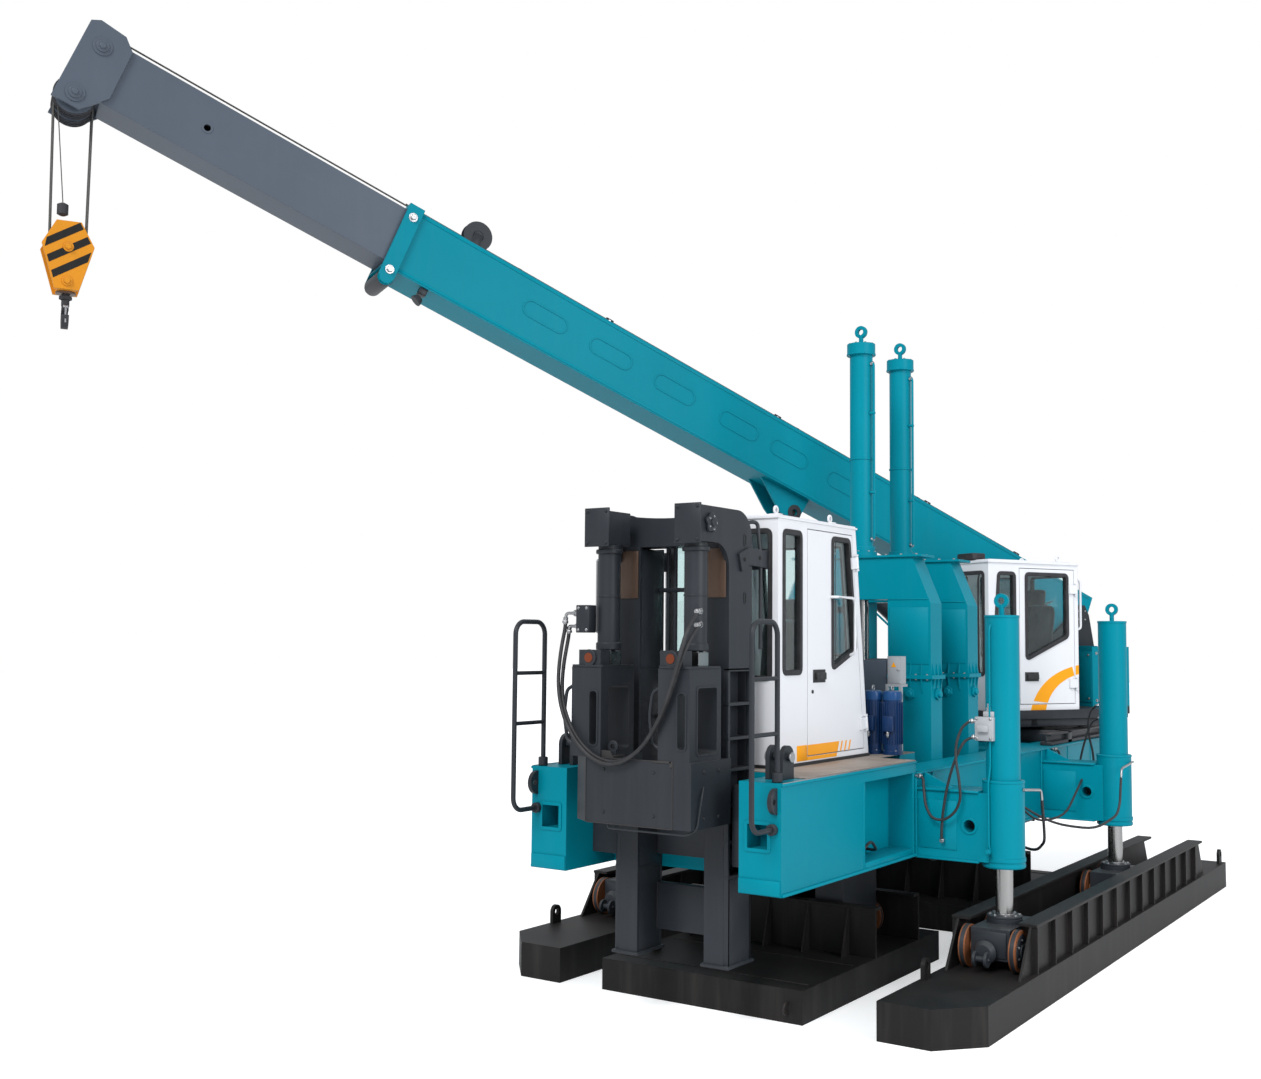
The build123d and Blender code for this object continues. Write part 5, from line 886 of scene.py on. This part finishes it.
def crane_cab_trim():
    """Window rubbers, front guard bars, gutter, roof plate and eyes, rail and the curved stripe of the crane cab."""
    left, right, front, back = CRANE_CAB.values()
    seals, white, orange = [], [], []
    seals += rim(SMALL, (right, 0, 0), BACK, UP)
    for outline in (SMALL, CRANE_PANE):
        seals += rim([(-y, z) for y, z in outline], (left, 0, 0), FRONT, UP)
    seals += [*rim(CRANE_WIDE, (0, front, 0), RIGHT, UP),
              *rim([(-x, z) for x, z in CRANE_WIDE], (0, back, 0), LEFT, UP)]
    roof = [(left, front), (right, front), (right, back), (left, back)]
    white += [edging(roof, (0, 0, 3.395), RIGHT, BACK, (-0.012, 0.002), (0, 0.014)),
              box((0.37, 1.0), (-0.98, 0.07), (3.419, 3.432), 0.006),
              pipe([(1.0, 0.12, 3.25), (1.0, 0.205, 3.25), (1.0, 0.205, 2.75), (1.0, 0.12, 2.75)], 0.013, 0.05),
              *roof_eye(0.95, -0.05, 3.43), *roof_eye(0.42, -0.05, 3.43)]
    seals += [box((0.55, 0.80), (-1.02, -0.86), (3.431, 3.50), 0.012),
              *(pipe([(x, -1.045, 2.30), (x, -1.058, 2.36), (x, -1.058, 3.22), (x, -1.045, 3.28)], 0.009, 0.03)
                for x in (0.45, 0.92))]
    t = np.linspace(0, 1, 24)[:, None]
    outer = (1 - t) ** 2 * (-0.514, 1.94) + 2 * t * (1 - t) * (-0.40, 2.30) + t ** 2 * (back, 2.385)
    inner = (1 - t) ** 2 * (-0.319, 1.94) + 2 * t * (1 - t) * (-0.24, 2.22) + t ** 2 * (back, 2.293)
    fade = [edge[(edge[:, 1] > 2.003) & (edge[:, 0] < 0.068)] for edge in (outer, inner)]
    orange += [slab([(-0.514, 1.937), (-0.319, 1.937), (-0.303, 1.993), (-0.496, 1.993)], (right, 0, 0), BACK, UP,
                    STRIPE_THICK),
               slab([(0.082, 2.284), (0.124, 2.293), (0.124, 2.385), (0.082, 2.378)], (right, 0, 0), BACK, UP,
                    STRIPE_THICK)]
    put_all("crane", CRANE, crane_cab_seals=(seals, RUBBER), crane_cab_roof_trim=(white, WHITE),
            crane_cab_stripe=(orange, STRIPE))
    door = rim(CRANE_PANE, (right, 0, 0), BACK, UP)
    door += [box((1.056, 1.080), (-0.565, -0.425), (2.245, 2.295), 0.008),
             box((1.049, 1.056), (-0.585, -0.41), (2.225, 2.315), 0.004)]
    put("crane_door_seals", door, RUBBER, "crane_door", CRANE)
    arc = slab(np.concatenate([fade[0], fade[1][::-1]]), (right, 0, 0), BACK, UP, STRIPE_THICK)
    put("crane_door_stripe", [arc], STRIPE, "crane_door", CRANE)


def pad(middle, half, crown, tilt=0.0, channels=()):
    """A crowned pad: |x/a|, |y/b| and |z/c| follow powers of sine and cosine. Its top swells by crown (1-x2)(1-y2), its
    sides pull in between the corners, and each sewn channel dips by a narrow bell across x."""
    v = np.linspace(-np.pi / 2 + 0.04, np.pi / 2 - 0.04, 27)[:, None]
    u = np.linspace(0, 2 * np.pi, 72, endpoint=False)[None]

    def eased(wave, power):
        return np.sign(wave) * np.abs(wave) ** power

    x = eased(np.cos(v), 0.45) * eased(np.cos(u), 0.35)
    y = eased(np.cos(v), 0.45) * eased(np.sin(u), 0.35)
    z = eased(np.sin(v), 0.7) * np.ones_like(u)
    x, y = x * (1 - 0.06 * np.cos(np.pi / 2 * y) ** 2), y * (1 - 0.05 * np.cos(np.pi / 2 * x) ** 2)
    lift = np.where(z > 0, crown * (1 - x ** 2) * (1 - y ** 2), 0)
    dips = sum((0.16 * np.exp(-((x - place) / 0.035) ** 2) for place in channels), 0 * x) * (z > 0)
    points = np.stack([x * half[0], y * half[1], (z + lift - dips * np.abs(z)) * half[2]], -1)
    lean = np.array(Matrix.Rotation(math.radians(tilt), 3, "X"))
    return shell(points @ lean.T + np.asarray(middle))


def seat(name, spot, body):
    """A driver's seat: a bellows pedestal, rails, a crowned cushion, a tall back with sewn channels and a head pad."""
    pads = [pad((0, 0.01, 0.40), (0.235, 0.262, 0.062), 0.28, channels=(-0.36, 0.36)),
            pad((0, 0.245, 0.735), (0.225, 0.29, 0.055), 0.30, tilt=83, channels=(-0.36, 0.36)),
            pad((0, 0.235, 1.095), (0.125, 0.085, 0.045), 0.35, tilt=84)]
    z, fold_rate = np.linspace(0.05, 0.32, 28), 140
    folds = np.stack([0.125 + 0.014 * np.cos(z * fold_rate), z], -1)
    base = [turned(folds, (0, 0, 0), UP, 36), box((-0.13, 0.13), (-0.13, 0.15), (0.0, 0.05)),
            box((-0.19, -0.16), (-0.22, 0.24), (0.315, 0.345)), box((0.16, 0.19), (-0.22, 0.24), (0.315, 0.345)),
            pipe([(0.05, 0.275, 0.95), (0.05, 0.245, 1.05)], 0.009),
            pipe([(-0.05, 0.275, 0.95), (-0.05, 0.245, 1.05)], 0.009),
            box((-0.22, 0.22), (0.265, 0.288), (0.34, 0.60))]
    cushion = put(name + "_pads", pads, SEAT, body, spot, crease=60)
    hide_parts(name)
    put(name + "_base", base, RUBBER, body, spot)


# ---- crane ----

def turret_trim():
    """The slewing base with its rails; the turret's floor beams, pin plates, hoses, winch rope and tail plates."""
    dark, steel, teal, black, cable = [], [], [], [], []
    dark += [*(box(x, (-1.0, 0.70), (1.775, 1.855)) for x in ((-0.62, -0.54), (0.36, 0.44), (0.98, 1.06))),
             *(box((-0.62, 1.06), y, (1.785, 1.855)) for y in ((-1.05, -0.97), (-0.52, -0.44), (0.66, 0.74))),
             ring(0.42, 0.52, 0.05, (0, 0, 1.795), UP, 48),
             box((-0.64, 1.085), (-1.066, -1.058), (1.850, 1.940), 0.002),
             box((1.078, 1.086), (-1.06, 0.76), (1.850, 1.940), 0.002)]
    steel += bolts(circle_of(24, 0.475, (0, 0, 1.795)), DOWN, 0.010)
    for s in SIDES:
        dark += [ring(0.15, 0.19, 0.016, (s * 0.18 - 0.008, WINCH_Y, WINCH_Z), RIGHT, 36),
                 disc(0.085, 0.012, (s * 0.29, *BOOM_PIN), s * RIGHT, 32),
                 ring(0.032, 0.05, 0.012, (s * 0.13, *LUFF_FOOT), s * RIGHT)]
        teal += [box((s * 0.30, s * 0.64), (0.694, 0.70), (1.98, 2.52), 0.006),
                 box((s * 0.30, s * 0.64), (1.23, 1.236), (1.98, 2.52), 0.006),
                 *(box((s * 0.30, s * 0.64), (y - 0.01, y + 0.01), (2.568, 2.578), 0.002) for y in (0.78, 1.15))]
        steel += [*bolts([(s * 0.65, y, z) for y in (0.76, 1.17) for z in (2.0, 2.5)], s * RIGHT, 0.012),
                  *bolts([(s * x, 0.694, z) for x in (0.34, 0.60) for z in (2.02, 2.48)], FRONT, 0.010),
                  *bolts(circle_of(4, 0.065, (s * 0.30, *BOOM_PIN), RIGHT, 0.78), s * RIGHT, 0.010)]
    for n, x in enumerate((-0.50, -0.46, -0.42)):
        rise = 0.04 * n
        black.append(pipe([(x, -0.60, 1.935), (x, -0.60, 2.20 + rise), (x + 0.06, -0.15, 2.40 + rise),
                           (x + 0.06, 0.35, 2.30 + rise), (x + 0.04, 0.55, 1.94)], 0.014, 0.22))
        steel += fitting((x, -0.60, 1.935), UP, 0.019, 0.06)
    black.append(pipe([(0.28, -0.10, 2.3), (0.26, 0.10, 2.75), (0.20, 0.55, 3.10), (0.19, 0.95, 2.98)], 0.013, 0.3))
    turns = np.linspace(0, WINDS * 2 * np.pi, WINDS * 18)
    cable.append(tube(np.stack([-0.16 + turns / turns[-1] * 0.32, WINCH_Y + DRUM_R * np.cos(turns),
                                WINCH_Z + DRUM_R * np.sin(turns)], -1), 0.008, 6))
    teal += [box((0.16, 0.20), (0.50, 0.54), (1.935, 3.42), 0.006),
             ring(0.02, 0.055, 0.02, (0.17, 0.52, 3.44), RIGHT, 28), box((0.155, 0.205), (0.49, 0.55), (3.38, 3.42))]
    base = [ring(0.418, 0.46, 0.12, (0, SLEW_Y, DECK_TOP), UP, 56),
            box((-0.705, 0.705), (2.44, 3.46), (1.64, DECK_TOP)), box((-0.99, 0.99), (2.18, 2.30), (1.626, 1.74)),
            box((-0.99, 0.99), (3.56, 3.68), (1.626, 1.74))]
    for s in SIDES:
        base += [box((s * 0.88, s * 0.99), (1.66, 3.70), (1.626, 1.66)),
                 box((s * 0.88, s * 0.99), (1.66, 3.70), (1.72, 1.74)),
                 box((s * 0.93, s * 0.945), (1.66, 3.70), (1.65, 1.73)),
                 *(slab([(0, 0), (0.12, 0), (0, 0.10)], (s * 0.93, y, 1.64), -s * RIGHT, UP, 0.012)
                   for y in (1.9, 2.6, 3.2))]
    put("slewing_base", base, DARK, "frame")
    put_all("crane", CRANE, turret_trim=(dark, DARK), turret_bolts=(steel, PIN_STEEL), ballast_trim=(teal, TEAL),
            turret_hoses=(black, RUBBER), winch_rope=(cable, WIRE))


def boom_trim():
    """Pressed ovals, edge strips, rope guides, pipes, hose reel, lamp and collar sleeve of the outer boom."""
    teal, dark, steel, cable = [], [], [], []
    for s in SIDES:
        teal += [*(edging(oval(0.45, 0.15) * (s, 1), (s * 0.215, -along, 0.0), s * BACK, UP, (-0.008, 0.008),
                          (-0.001, 0.004)) for along in (6.83, 6.12, 5.40, 4.64, 4.02, 3.3)),
                 box((s * 0.215, s * 0.2185), (-8.19, 0.10), (0.238, 0.262), 0.001),
                 box((s * 0.215, s * 0.2185), (-8.19, 0.10), (-0.300, -0.276), 0.001)]
        for up in (-0.33, 0.19):
            steel += stepped((s * 0.24, -8.26, up), s * RIGHT, (0.040, 0.006, 28), (0.028, 0.028, 6))
        dark.append(ring(0.031, 0.075, 0.012, (s * 0.13, *LUFF_EYE), s * RIGHT))
        teal.append(disc(0.10, 0.012, (s * 0.215, 0, 0), s * RIGHT, 32))
    sleeve = (-0.212, -8.26, -0.40)
    dark.append(turned([(0.0715, 0), (0.0735, 0.01), (0.0735, 0.414), (0.0715, 0.424)], sleeve, RIGHT, 32))
    for along in (8.25, 6.2, 4.2, 2.2, 0.9):
        dark += [box((x, x + 0.012), (-along - 0.04, -along + 0.04), (0.274, 0.36)) for x in (-0.06, 0.048)]
        steel.append(tube([(-0.06, -along, 0.34), (0.06, -along, 0.34)], 0.012, 12))
    cable.append(tube([(0.0, -8.33, 0.362), (0.0, -0.9, 0.362), (0.0, -0.15, 0.30)], 0.008, 8))
    steel += [tube([(x, -7.55, 0.29), (x, -0.5, 0.29)], 0.009, 8) for x in (0.12, 0.15)]
    dark += [box((0.10, 0.17), (-along - 0.02, -along + 0.02), (0.275, 0.302), 0.002)
             for along in (7.2, 5.6, 4.0, 2.4, 1.0)]
    reel = (-7.64, 0.43)
    dark += [*(ring(0.05, 0.135, 0.008, (x, *reel), RIGHT, 36) for x in (-0.05, 0.022)),
             turned([(0.06, 0), (0.06, 0.072)], (-0.046, *reel), RIGHT, 24),
             box((-0.06, -0.052), (-7.68, -7.60), (0.275, 0.45)), box((0.032, 0.04), (-7.68, -7.60), (0.275, 0.45))]
    wraps = np.linspace(0, 5 * 2 * np.pi, 110)
    dark += [tube(np.stack([-0.036 + 0.05 * wraps / wraps[-1], reel[0] + 0.10 * np.cos(wraps),
                            reel[1] + 0.10 * np.sin(wraps)], -1), 0.009, 6),
             box((0.12, 0.20), (-7.95, -7.88), (-0.375, -0.314)),
             turned([(0.035, 0), (0.05, 0.03), (0.052, 0.05)], (0.16, -7.915, -0.40), (0, -0.5, -1), 20)]
    put_all("boom", BOOM, boom_trim=(teal, TEAL), boom_fittings=(dark, DARK), boom_bolts=(steel, PIN_STEEL),
            boom_rope=(cable, WIRE))


def boom_head_trim():
    """Stepped pin caps, port rims, sheave rims and the rope at the head of the inner boom."""
    dark, rims, cable = [], [], []
    for s in SIDES:
        for pin in HEAD_PINS:
            dark += stepped((s * 0.213, *pin), s * RIGHT, (0.075, 0.008, 36), (0.050, 0.020, 32), (0.028, 0.034, 6))
        dark.append(ring(0.028, 0.048, 0.003, (s * 0.188, -10.04, 0.0), s * RIGHT))
    for pin in HEAD_PINS:
        for x in (-0.150, -0.075, 0.035, 0.110):
            rims += [ring(0.148, 0.158, 0.006, (x + d, *pin), RIGHT, 40) for d in (0.0, 0.034)]
    cable.append(tube([(0.0, -6.2, 0.352), (0.0, -10.9, 0.352), (0.05, -10.98, 0.315)], 0.008, 8))
    put_all("inner_boom", BOOM, boom_head_trim=(dark, BOOM_GREY), boom_head_sheave_rims=(rims, FORGED),
            boom_head_rope=(cable, WIRE))


def luff_cylinder_trim():
    """Gland, collars and side pipe of the luffing cylinder's barrel, along the line between its two pins."""
    foot, eye = CRANE @ Vector((0, *LUFF_FOOT)), BOOM @ Vector((0, *LUFF_EYE))
    at, along = np.array(foot), np.array((eye - foot).normalized())
    up = np.cross(np.array(CRANE.to_3x3().col[0]), along)
    dark = [ring(0.056, 0.102, 0.07, at + 2.13 * along, along, 36),
            ring(0.083, 0.094, 0.03, at + 0.25 * along, along, 36),
            ring(0.083, 0.090, 0.02, at + 1.2 * along, along, 36)]
    steel = bolts(circle_of(10, 0.078, at + 2.20 * along, along), along, 0.010)
    lift = 0.105 * up
    dark.append(pipe([at + 0.22 * along + 0.8 * lift, at + 0.22 * along + 1.15 * lift,
                      at + 2.05 * along + 1.15 * lift, at + 2.05 * along + 0.8 * lift], 0.011, 0.03))
    steel += [*fitting(at + 0.22 * along + 0.75 * lift, up, 0.018, 0.05),
              *fitting(at + 2.05 * along + 0.75 * lift, up, 0.018, 0.05)]
    put("luff_cylinder_trim", dark, TEAL, "luff_barrel")
    put("luff_cylinder_bolts", steel, PIN_STEEL, "luff_barrel")


def hook_trim():
    """Rope falls, the weight on its line, slanting warning bands, pin caps, swivel plate and the safety latch."""
    wire, black, steel, dark, copper, orange = [], [], [], [], [], []
    for x in (-0.05, 0.05):
        wire += [tube([(x, y, -0.02), (x, 0.93 * y, -1.10)], 0.0085, 8) for y in (-0.142, 0.142)]
    wire.append(tube([(0.12, -0.12, -0.02), (0.10, -0.05, -0.86)], 0.004, 6))
    dark.append(turned([(0.02, 0), (0.042, 0.012), (0.042, 0.088), (0.02, 0.10)], (0.10, -0.05, -0.96), UP, 20))
    heights, halves = (-1.54, -1.19, -1.0), (0.09, 0.19, 0.09)
    slope, thick = 0.62, 0.033
    for centre in (-1.085, -1.225, -1.365):
        for s in SIDES:
            corners = []
            for edge, side in ((-thick, -1), (-thick, 1), (thick, 1), (thick, -1)):
                y = 0.1 * side
                for _ in range(12):  # the band's end settles on the block's slanting edge
                    y = side * (np.interp(centre + slope * y + edge, heights, halves) - 0.012)
                corners.append((y, centre + slope * y + edge))
            black.append(slab(corners, (s * 0.1252, 0, 0), BACK, UP, s * 0.0014))
    for s in SIDES:
        for z in (-1.205, -1.475):
            orange += stepped((s * 0.125, 0, z), s * RIGHT, (0.040, 0.010, 28), (0.026, 0.026, 6))
    copper.append(ring(0.031, 0.075, 0.018, (0, 0, -1.556)))
    dark.append(disc(0.048, 0.03, (0, 0, -1.60), UP, 6))
    steel += [slab([(0.0, 0.0), (0.022, 0.0), (0.03, -0.13), (0.012, -0.13)], (0.062, -0.006, -1.665), RIGHT, UP,
                   -0.012),
              disc(0.012, 0.04, (0.07, -0.02, -1.665), BACK, 16)]
    put_all("hook", HOOK, rope_falls=(wire, WIRE), hook_warning_bands=(black, BLACK_PAINT),
            hook_block_pins=(dark, FORGED), hook_block_bolts=(steel, PIN_STEEL), hook_block_caps=(orange, ORANGE),
            hook_swivel_plate=(copper, COPPER))


# ---- motors, tank and cabinet ----

def motor_trim():
    """Fan hoods, cooling fins, terminal boxes and feet of the pump motors."""
    light, blue, steel = [], [], []
    for x in (0.489, 0.655):
        at = (x, -1.24)
        light.append(turned([(0.078, 0), (0.079, 0.04), (0.072, 0.066), (0.05, 0.074)], (*at, 2.146), UP, 32))
        for angle in np.linspace(0, 2 * np.pi, 22, endpoint=False):
            step = frame_at((*at, 0), math.degrees(angle))
            blue += placed([box((0.070, 0.084), (-0.002, 0.002), (1.80, 2.13), 0.001)], step)
        blue.append(box((x - 0.045, x + 0.045), (-1.345, -1.30), (1.90, 2.02)))
        steel += [*fitting((x, -1.335, 1.90), DOWN, 0.013, 0.04),
                  *bolts(circle_of(4, 0.070, (*at, 1.746), UP, 0.78), UP, 0.008),
                  ring(0.014, 0.026, 0.010, (x - 0.005, -1.24, 2.238), RIGHT, 20)]
    put_all("frame", motor_hoods=(light, BLUE_LIGHT), motor_fins=(blue, BLUE), motor_fittings=(steel, PIN_STEEL))


def tank_trim():
    """Lid, breather, sight glass and seams of the oil tank, and the cabinet's door with its warning triangle."""
    grey, steel, orange = [], [], []
    grey += [box((-0.655, 0.165), (-1.395, -0.945), (2.47, 2.488)),
             turned([(0.06, 0), (0.06, 0.02), (0.045, 0.03), (0.045, 0.07), (0.055, 0.075), (0.055, 0.10)],
                    (-0.45, -1.17, 2.486), UP, 24),
             *(box((0.15, 0.156), (y - 0.006, y + 0.006), (1.73, 2.46), 0.002) for y in (-1.34, -1.0)),
             box((0.52, 0.621), (-1.024, -1.018), (2.27, 2.484), 0.003)]
    steel += [*bolts([(x, y, 2.488) for x in np.linspace(-0.62, 0.13, 7) for y in (-1.37, -0.97)], UP, 0.008),
              box((0.15, 0.158), (-1.22, -1.19), (1.95, 2.30), 0.003),
              disc(0.008, 0.01, (0.61, -1.024, 2.38), FRONT, 12)]
    orange.append(slab([(-0.022, -0.018), (0.022, -0.018), (0, 0.022)], (0.57, -1.024, 2.42), RIGHT, UP,
                       STRIPE_THICK))
    put_all("frame", tank_trim=(grey, CABINET), tank_bolts=(steel, PIN_STEEL), cabinet_triangle=(orange, STRIPE))


# ---- pontoons, trolleys and rollers ----

def trolley_trim():
    """Bolted flanges under the leg rods and the cylinder clevis in front of each trolley."""
    for s, hand in HANDS:
        dark, steel = [], []
        for e in SIDES:
            at = (s * LEG_X, e * LEG_Y)
            dark.append(ring(0.067, 0.128, 0.022, (*at, 0.594)))
            steel += [*bolts(circle_of(8, 0.105, (*at, 0.616), start=math.pi / 8), UP, 0.011),
                      ring(0.0655, 0.074, 0.01, (*at, 0.616))]
            face = e * (LEG_Y + 0.30)
            dark += [box((s * LEG_X - 0.12, s * LEG_X + 0.12), (face, face + e * 0.012), (0.36, 0.54)),
                     turned([(0.03, 0), (0.075, 0.02), (0.085, 0.06), (0.06, 0.10)], (s * LEG_X - 0.02, face, 0.40),
                            e * BACK, 32)]
            for x in (-0.075, 0.01):
                dark += [disc(0.055, 0.022, (s * LEG_X + x, face + e * 0.13, 0.365), RIGHT, 32),
                         box((s * LEG_X + x, s * LEG_X + x + 0.022), (face + e * 0.06, face + e * 0.14),
                             (0.34, 0.41))]
            dark.append(disc(0.022, 0.13, (s * LEG_X - 0.087, face + e * 0.13, 0.365), RIGHT, 20))
        put("trolley_trim_" + hand, dark, DARK, "legs_" + hand)
        put("trolley_bolts_" + hand, steel, PIN_STEEL, "legs_" + hand)


def roller_caps():
    """Dark webs, hub caps and cap bolts on every roller, so that only its rim stays bare."""
    def cap(at, along):
        web = [disc(0.122, 0.004, at, along, 40), disc(0.052, 0.016, at, along, 28)]
        return web, bolts(circle_of(6, 0.08, np.asarray(at) + 0.004 * unit(along), along), along, 0.008)

    rows = [(f"wheels_{hand}_{leg}_{order}", (s * LEG_X, e * LEG_Y + d * 0.24, 0.413), RIGHT, (-0.21, 0.21))
            for s, hand in HANDS for e, leg in ENDS for d, order in ((-1, "ahead"), (1, "behind"))]
    rows += [(f"short_wheels_{leg}_{hand}", (s * 0.30, 0.0, 0.383), BACK, (e * 0.975, e * 1.725)) for e, leg in ENDS
             for s, hand in HANDS]
    for roller, at, axis, ends in rows:
        low, high = min(ends), max(ends)
        webs = [ring(0.1485, 0.1512, 0.030, np.asarray(at) + start * axis, axis, 48)
                for start in (low + 0.010, high - 0.040)]
        heads = []
        for end, way in ((low, -1), (high, 1)):
            web, head = cap(np.asarray(at) + end * axis, way * axis)
            webs, heads = webs + web, heads + head
        put(roller + "_webs", webs, DARK, roller)
        put(roller + "_cap_bolts", heads, PIN_STEEL, roller)


def pontoon_trim():
    """Tow rings and deck weld beads on the short pontoons."""
    for e, place in ENDS:
        worn = [ring(0.026, 0.046, 0.016, (0.62, e * 2.945, 0.10), RIGHT)]
        worn += [box((-0.90, 0.70), (e * y, e * (y + 0.012)), (0.229, 0.234), 0.002) for y in (2.05, 2.75)]
        put("short_pontoon_trim_" + place, worn, RAIL, "short_boat_" + place)


press_column_trim()
short_cylinder_trim()
carriage_trim()
beam_trim()
travel_cylinders()
leg_cylinder_trim()
gantry_trim()
press_cylinder_trim()
press_cab_trim()
crane_cab_trim()
seat("press_seat", frame_at((0.06, -2.15, 1.756)), "frame")
seat("crane_seat", CRANE @ frame_at((0.685, -0.34, 1.975)), "crane")
turret_trim()
boom_trim()
boom_head_trim()
luff_cylinder_trim()
hook_trim()
motor_trim()
tank_trim()
trolley_trim()
roller_caps()
pontoon_trim()


# ---- floor, light and camera ----

def studio_floor():
    """A pale floor that meets a white backdrop and keeps the machine's shadow."""
    bpy.ops.mesh.primitive_plane_add(size=160, location=(0, 0, 0))
    floor = bpy.context.object
    floor.name = "studio_floor"
    material, tree, _ = start_material("floor_white")
    surface(material, Base_Color=(0.86, 0.86, 0.86), Roughness=0.95)
    matt = tree.nodes["Principled BSDF"].outputs[0]
    lit = node(tree, "AddShader", {0: matt, 1: node(tree, "Emission", {"Strength": 0.42})})
    seen = node(tree, "LightPath", output="Is Camera Ray")
    feed(tree, tree.nodes["Material Output"].inputs["Surface"], node(tree, "MixShader", {0: seen, 1: matt, 2: lit}))
    floor.data.materials.append(material)


def studio_world():
    """Soft, slightly cool light from all round, seen as plain white by the camera and through glass."""
    world = bpy.data.worlds.new("studio")
    bpy.context.scene.world = world
    world.use_nodes = True
    tree = world.node_tree
    sky = tree.nodes["Background"]
    feed(tree, sky.inputs["Color"], (0.93, 0.96, 1.0))
    feed(tree, sky.inputs["Strength"], 0.62)
    white = node(tree, "Background", {"Color": (1.0, 1.0, 1.0)})
    seen = calc(tree, "MAXIMUM",
                *(node(tree, "LightPath", output=f"Is {ray} Ray") for ray in ("Camera", "Transmission")))
    mix = node(tree, "MixShader", {0: seen, 1: sky.outputs[0], 2: white})
    feed(tree, tree.nodes["World Output"].inputs["Surface"], mix)


def lamp(name, kind, place, aim, energy, size, colour=(1.0, 1.0, 1.0)):
    """A lamp turned from its place towards a point."""
    data = bpy.data.lights.new(name, kind)
    data.energy, data.color = energy, colour
    if kind == "SUN":
        data.angle = size
    else:
        data.shape, data.size = "DISK", size
    lamp_object = bpy.data.objects.new(name, data)
    lamp_object.matrix_world = Matrix.Translation(place) @ (
        Vector(aim) - Vector(place)).to_track_quat("-Z", "Y").to_matrix().to_4x4()
    bpy.context.scene.collection.objects.link(lamp_object)


def camera():
    """The camera: nearly level, in front and to the right, looking up a little; the shift sets its framing."""
    yaw, pitch, roll = math.radians(33.834), math.radians(4.015), math.radians(0.445)
    ahead = Vector((-math.sin(yaw) * math.cos(pitch), math.cos(yaw) * math.cos(pitch), math.sin(pitch)))
    level = Vector((math.cos(yaw), math.sin(yaw), 0.0))
    above = level.cross(ahead)
    right = level * math.cos(roll) + above * math.sin(roll)
    top = right.cross(ahead)
    data = bpy.data.cameras.new("view")
    data.sensor_width, data.lens = 36.0, 39.16
    data.shift_x, data.shift_y = -0.0236, 0.0026
    data.clip_end = 300.0
    view = bpy.data.objects.new("view", data)
    view.matrix_world = Matrix.Translation((5.226, -11.396, 2.615)) @ Matrix(
        (right, top, -ahead)).transposed().to_4x4()
    bpy.context.scene.collection.objects.link(view)
    bpy.context.scene.camera = view


studio_floor()
studio_world()
lamp("key", "SUN", (1.0, -14.0, 13.0), (0.0, 0.0, 1.0), 2.1, math.radians(25))
lamp("side_fill", "AREA", (13.0, -5.0, 7.0), (0.5, 0.0, 2.0), 900.0, 8.0, (0.97, 0.98, 1.0))
camera()
bpy.context.scene.view_settings.view_transform = "Standard"
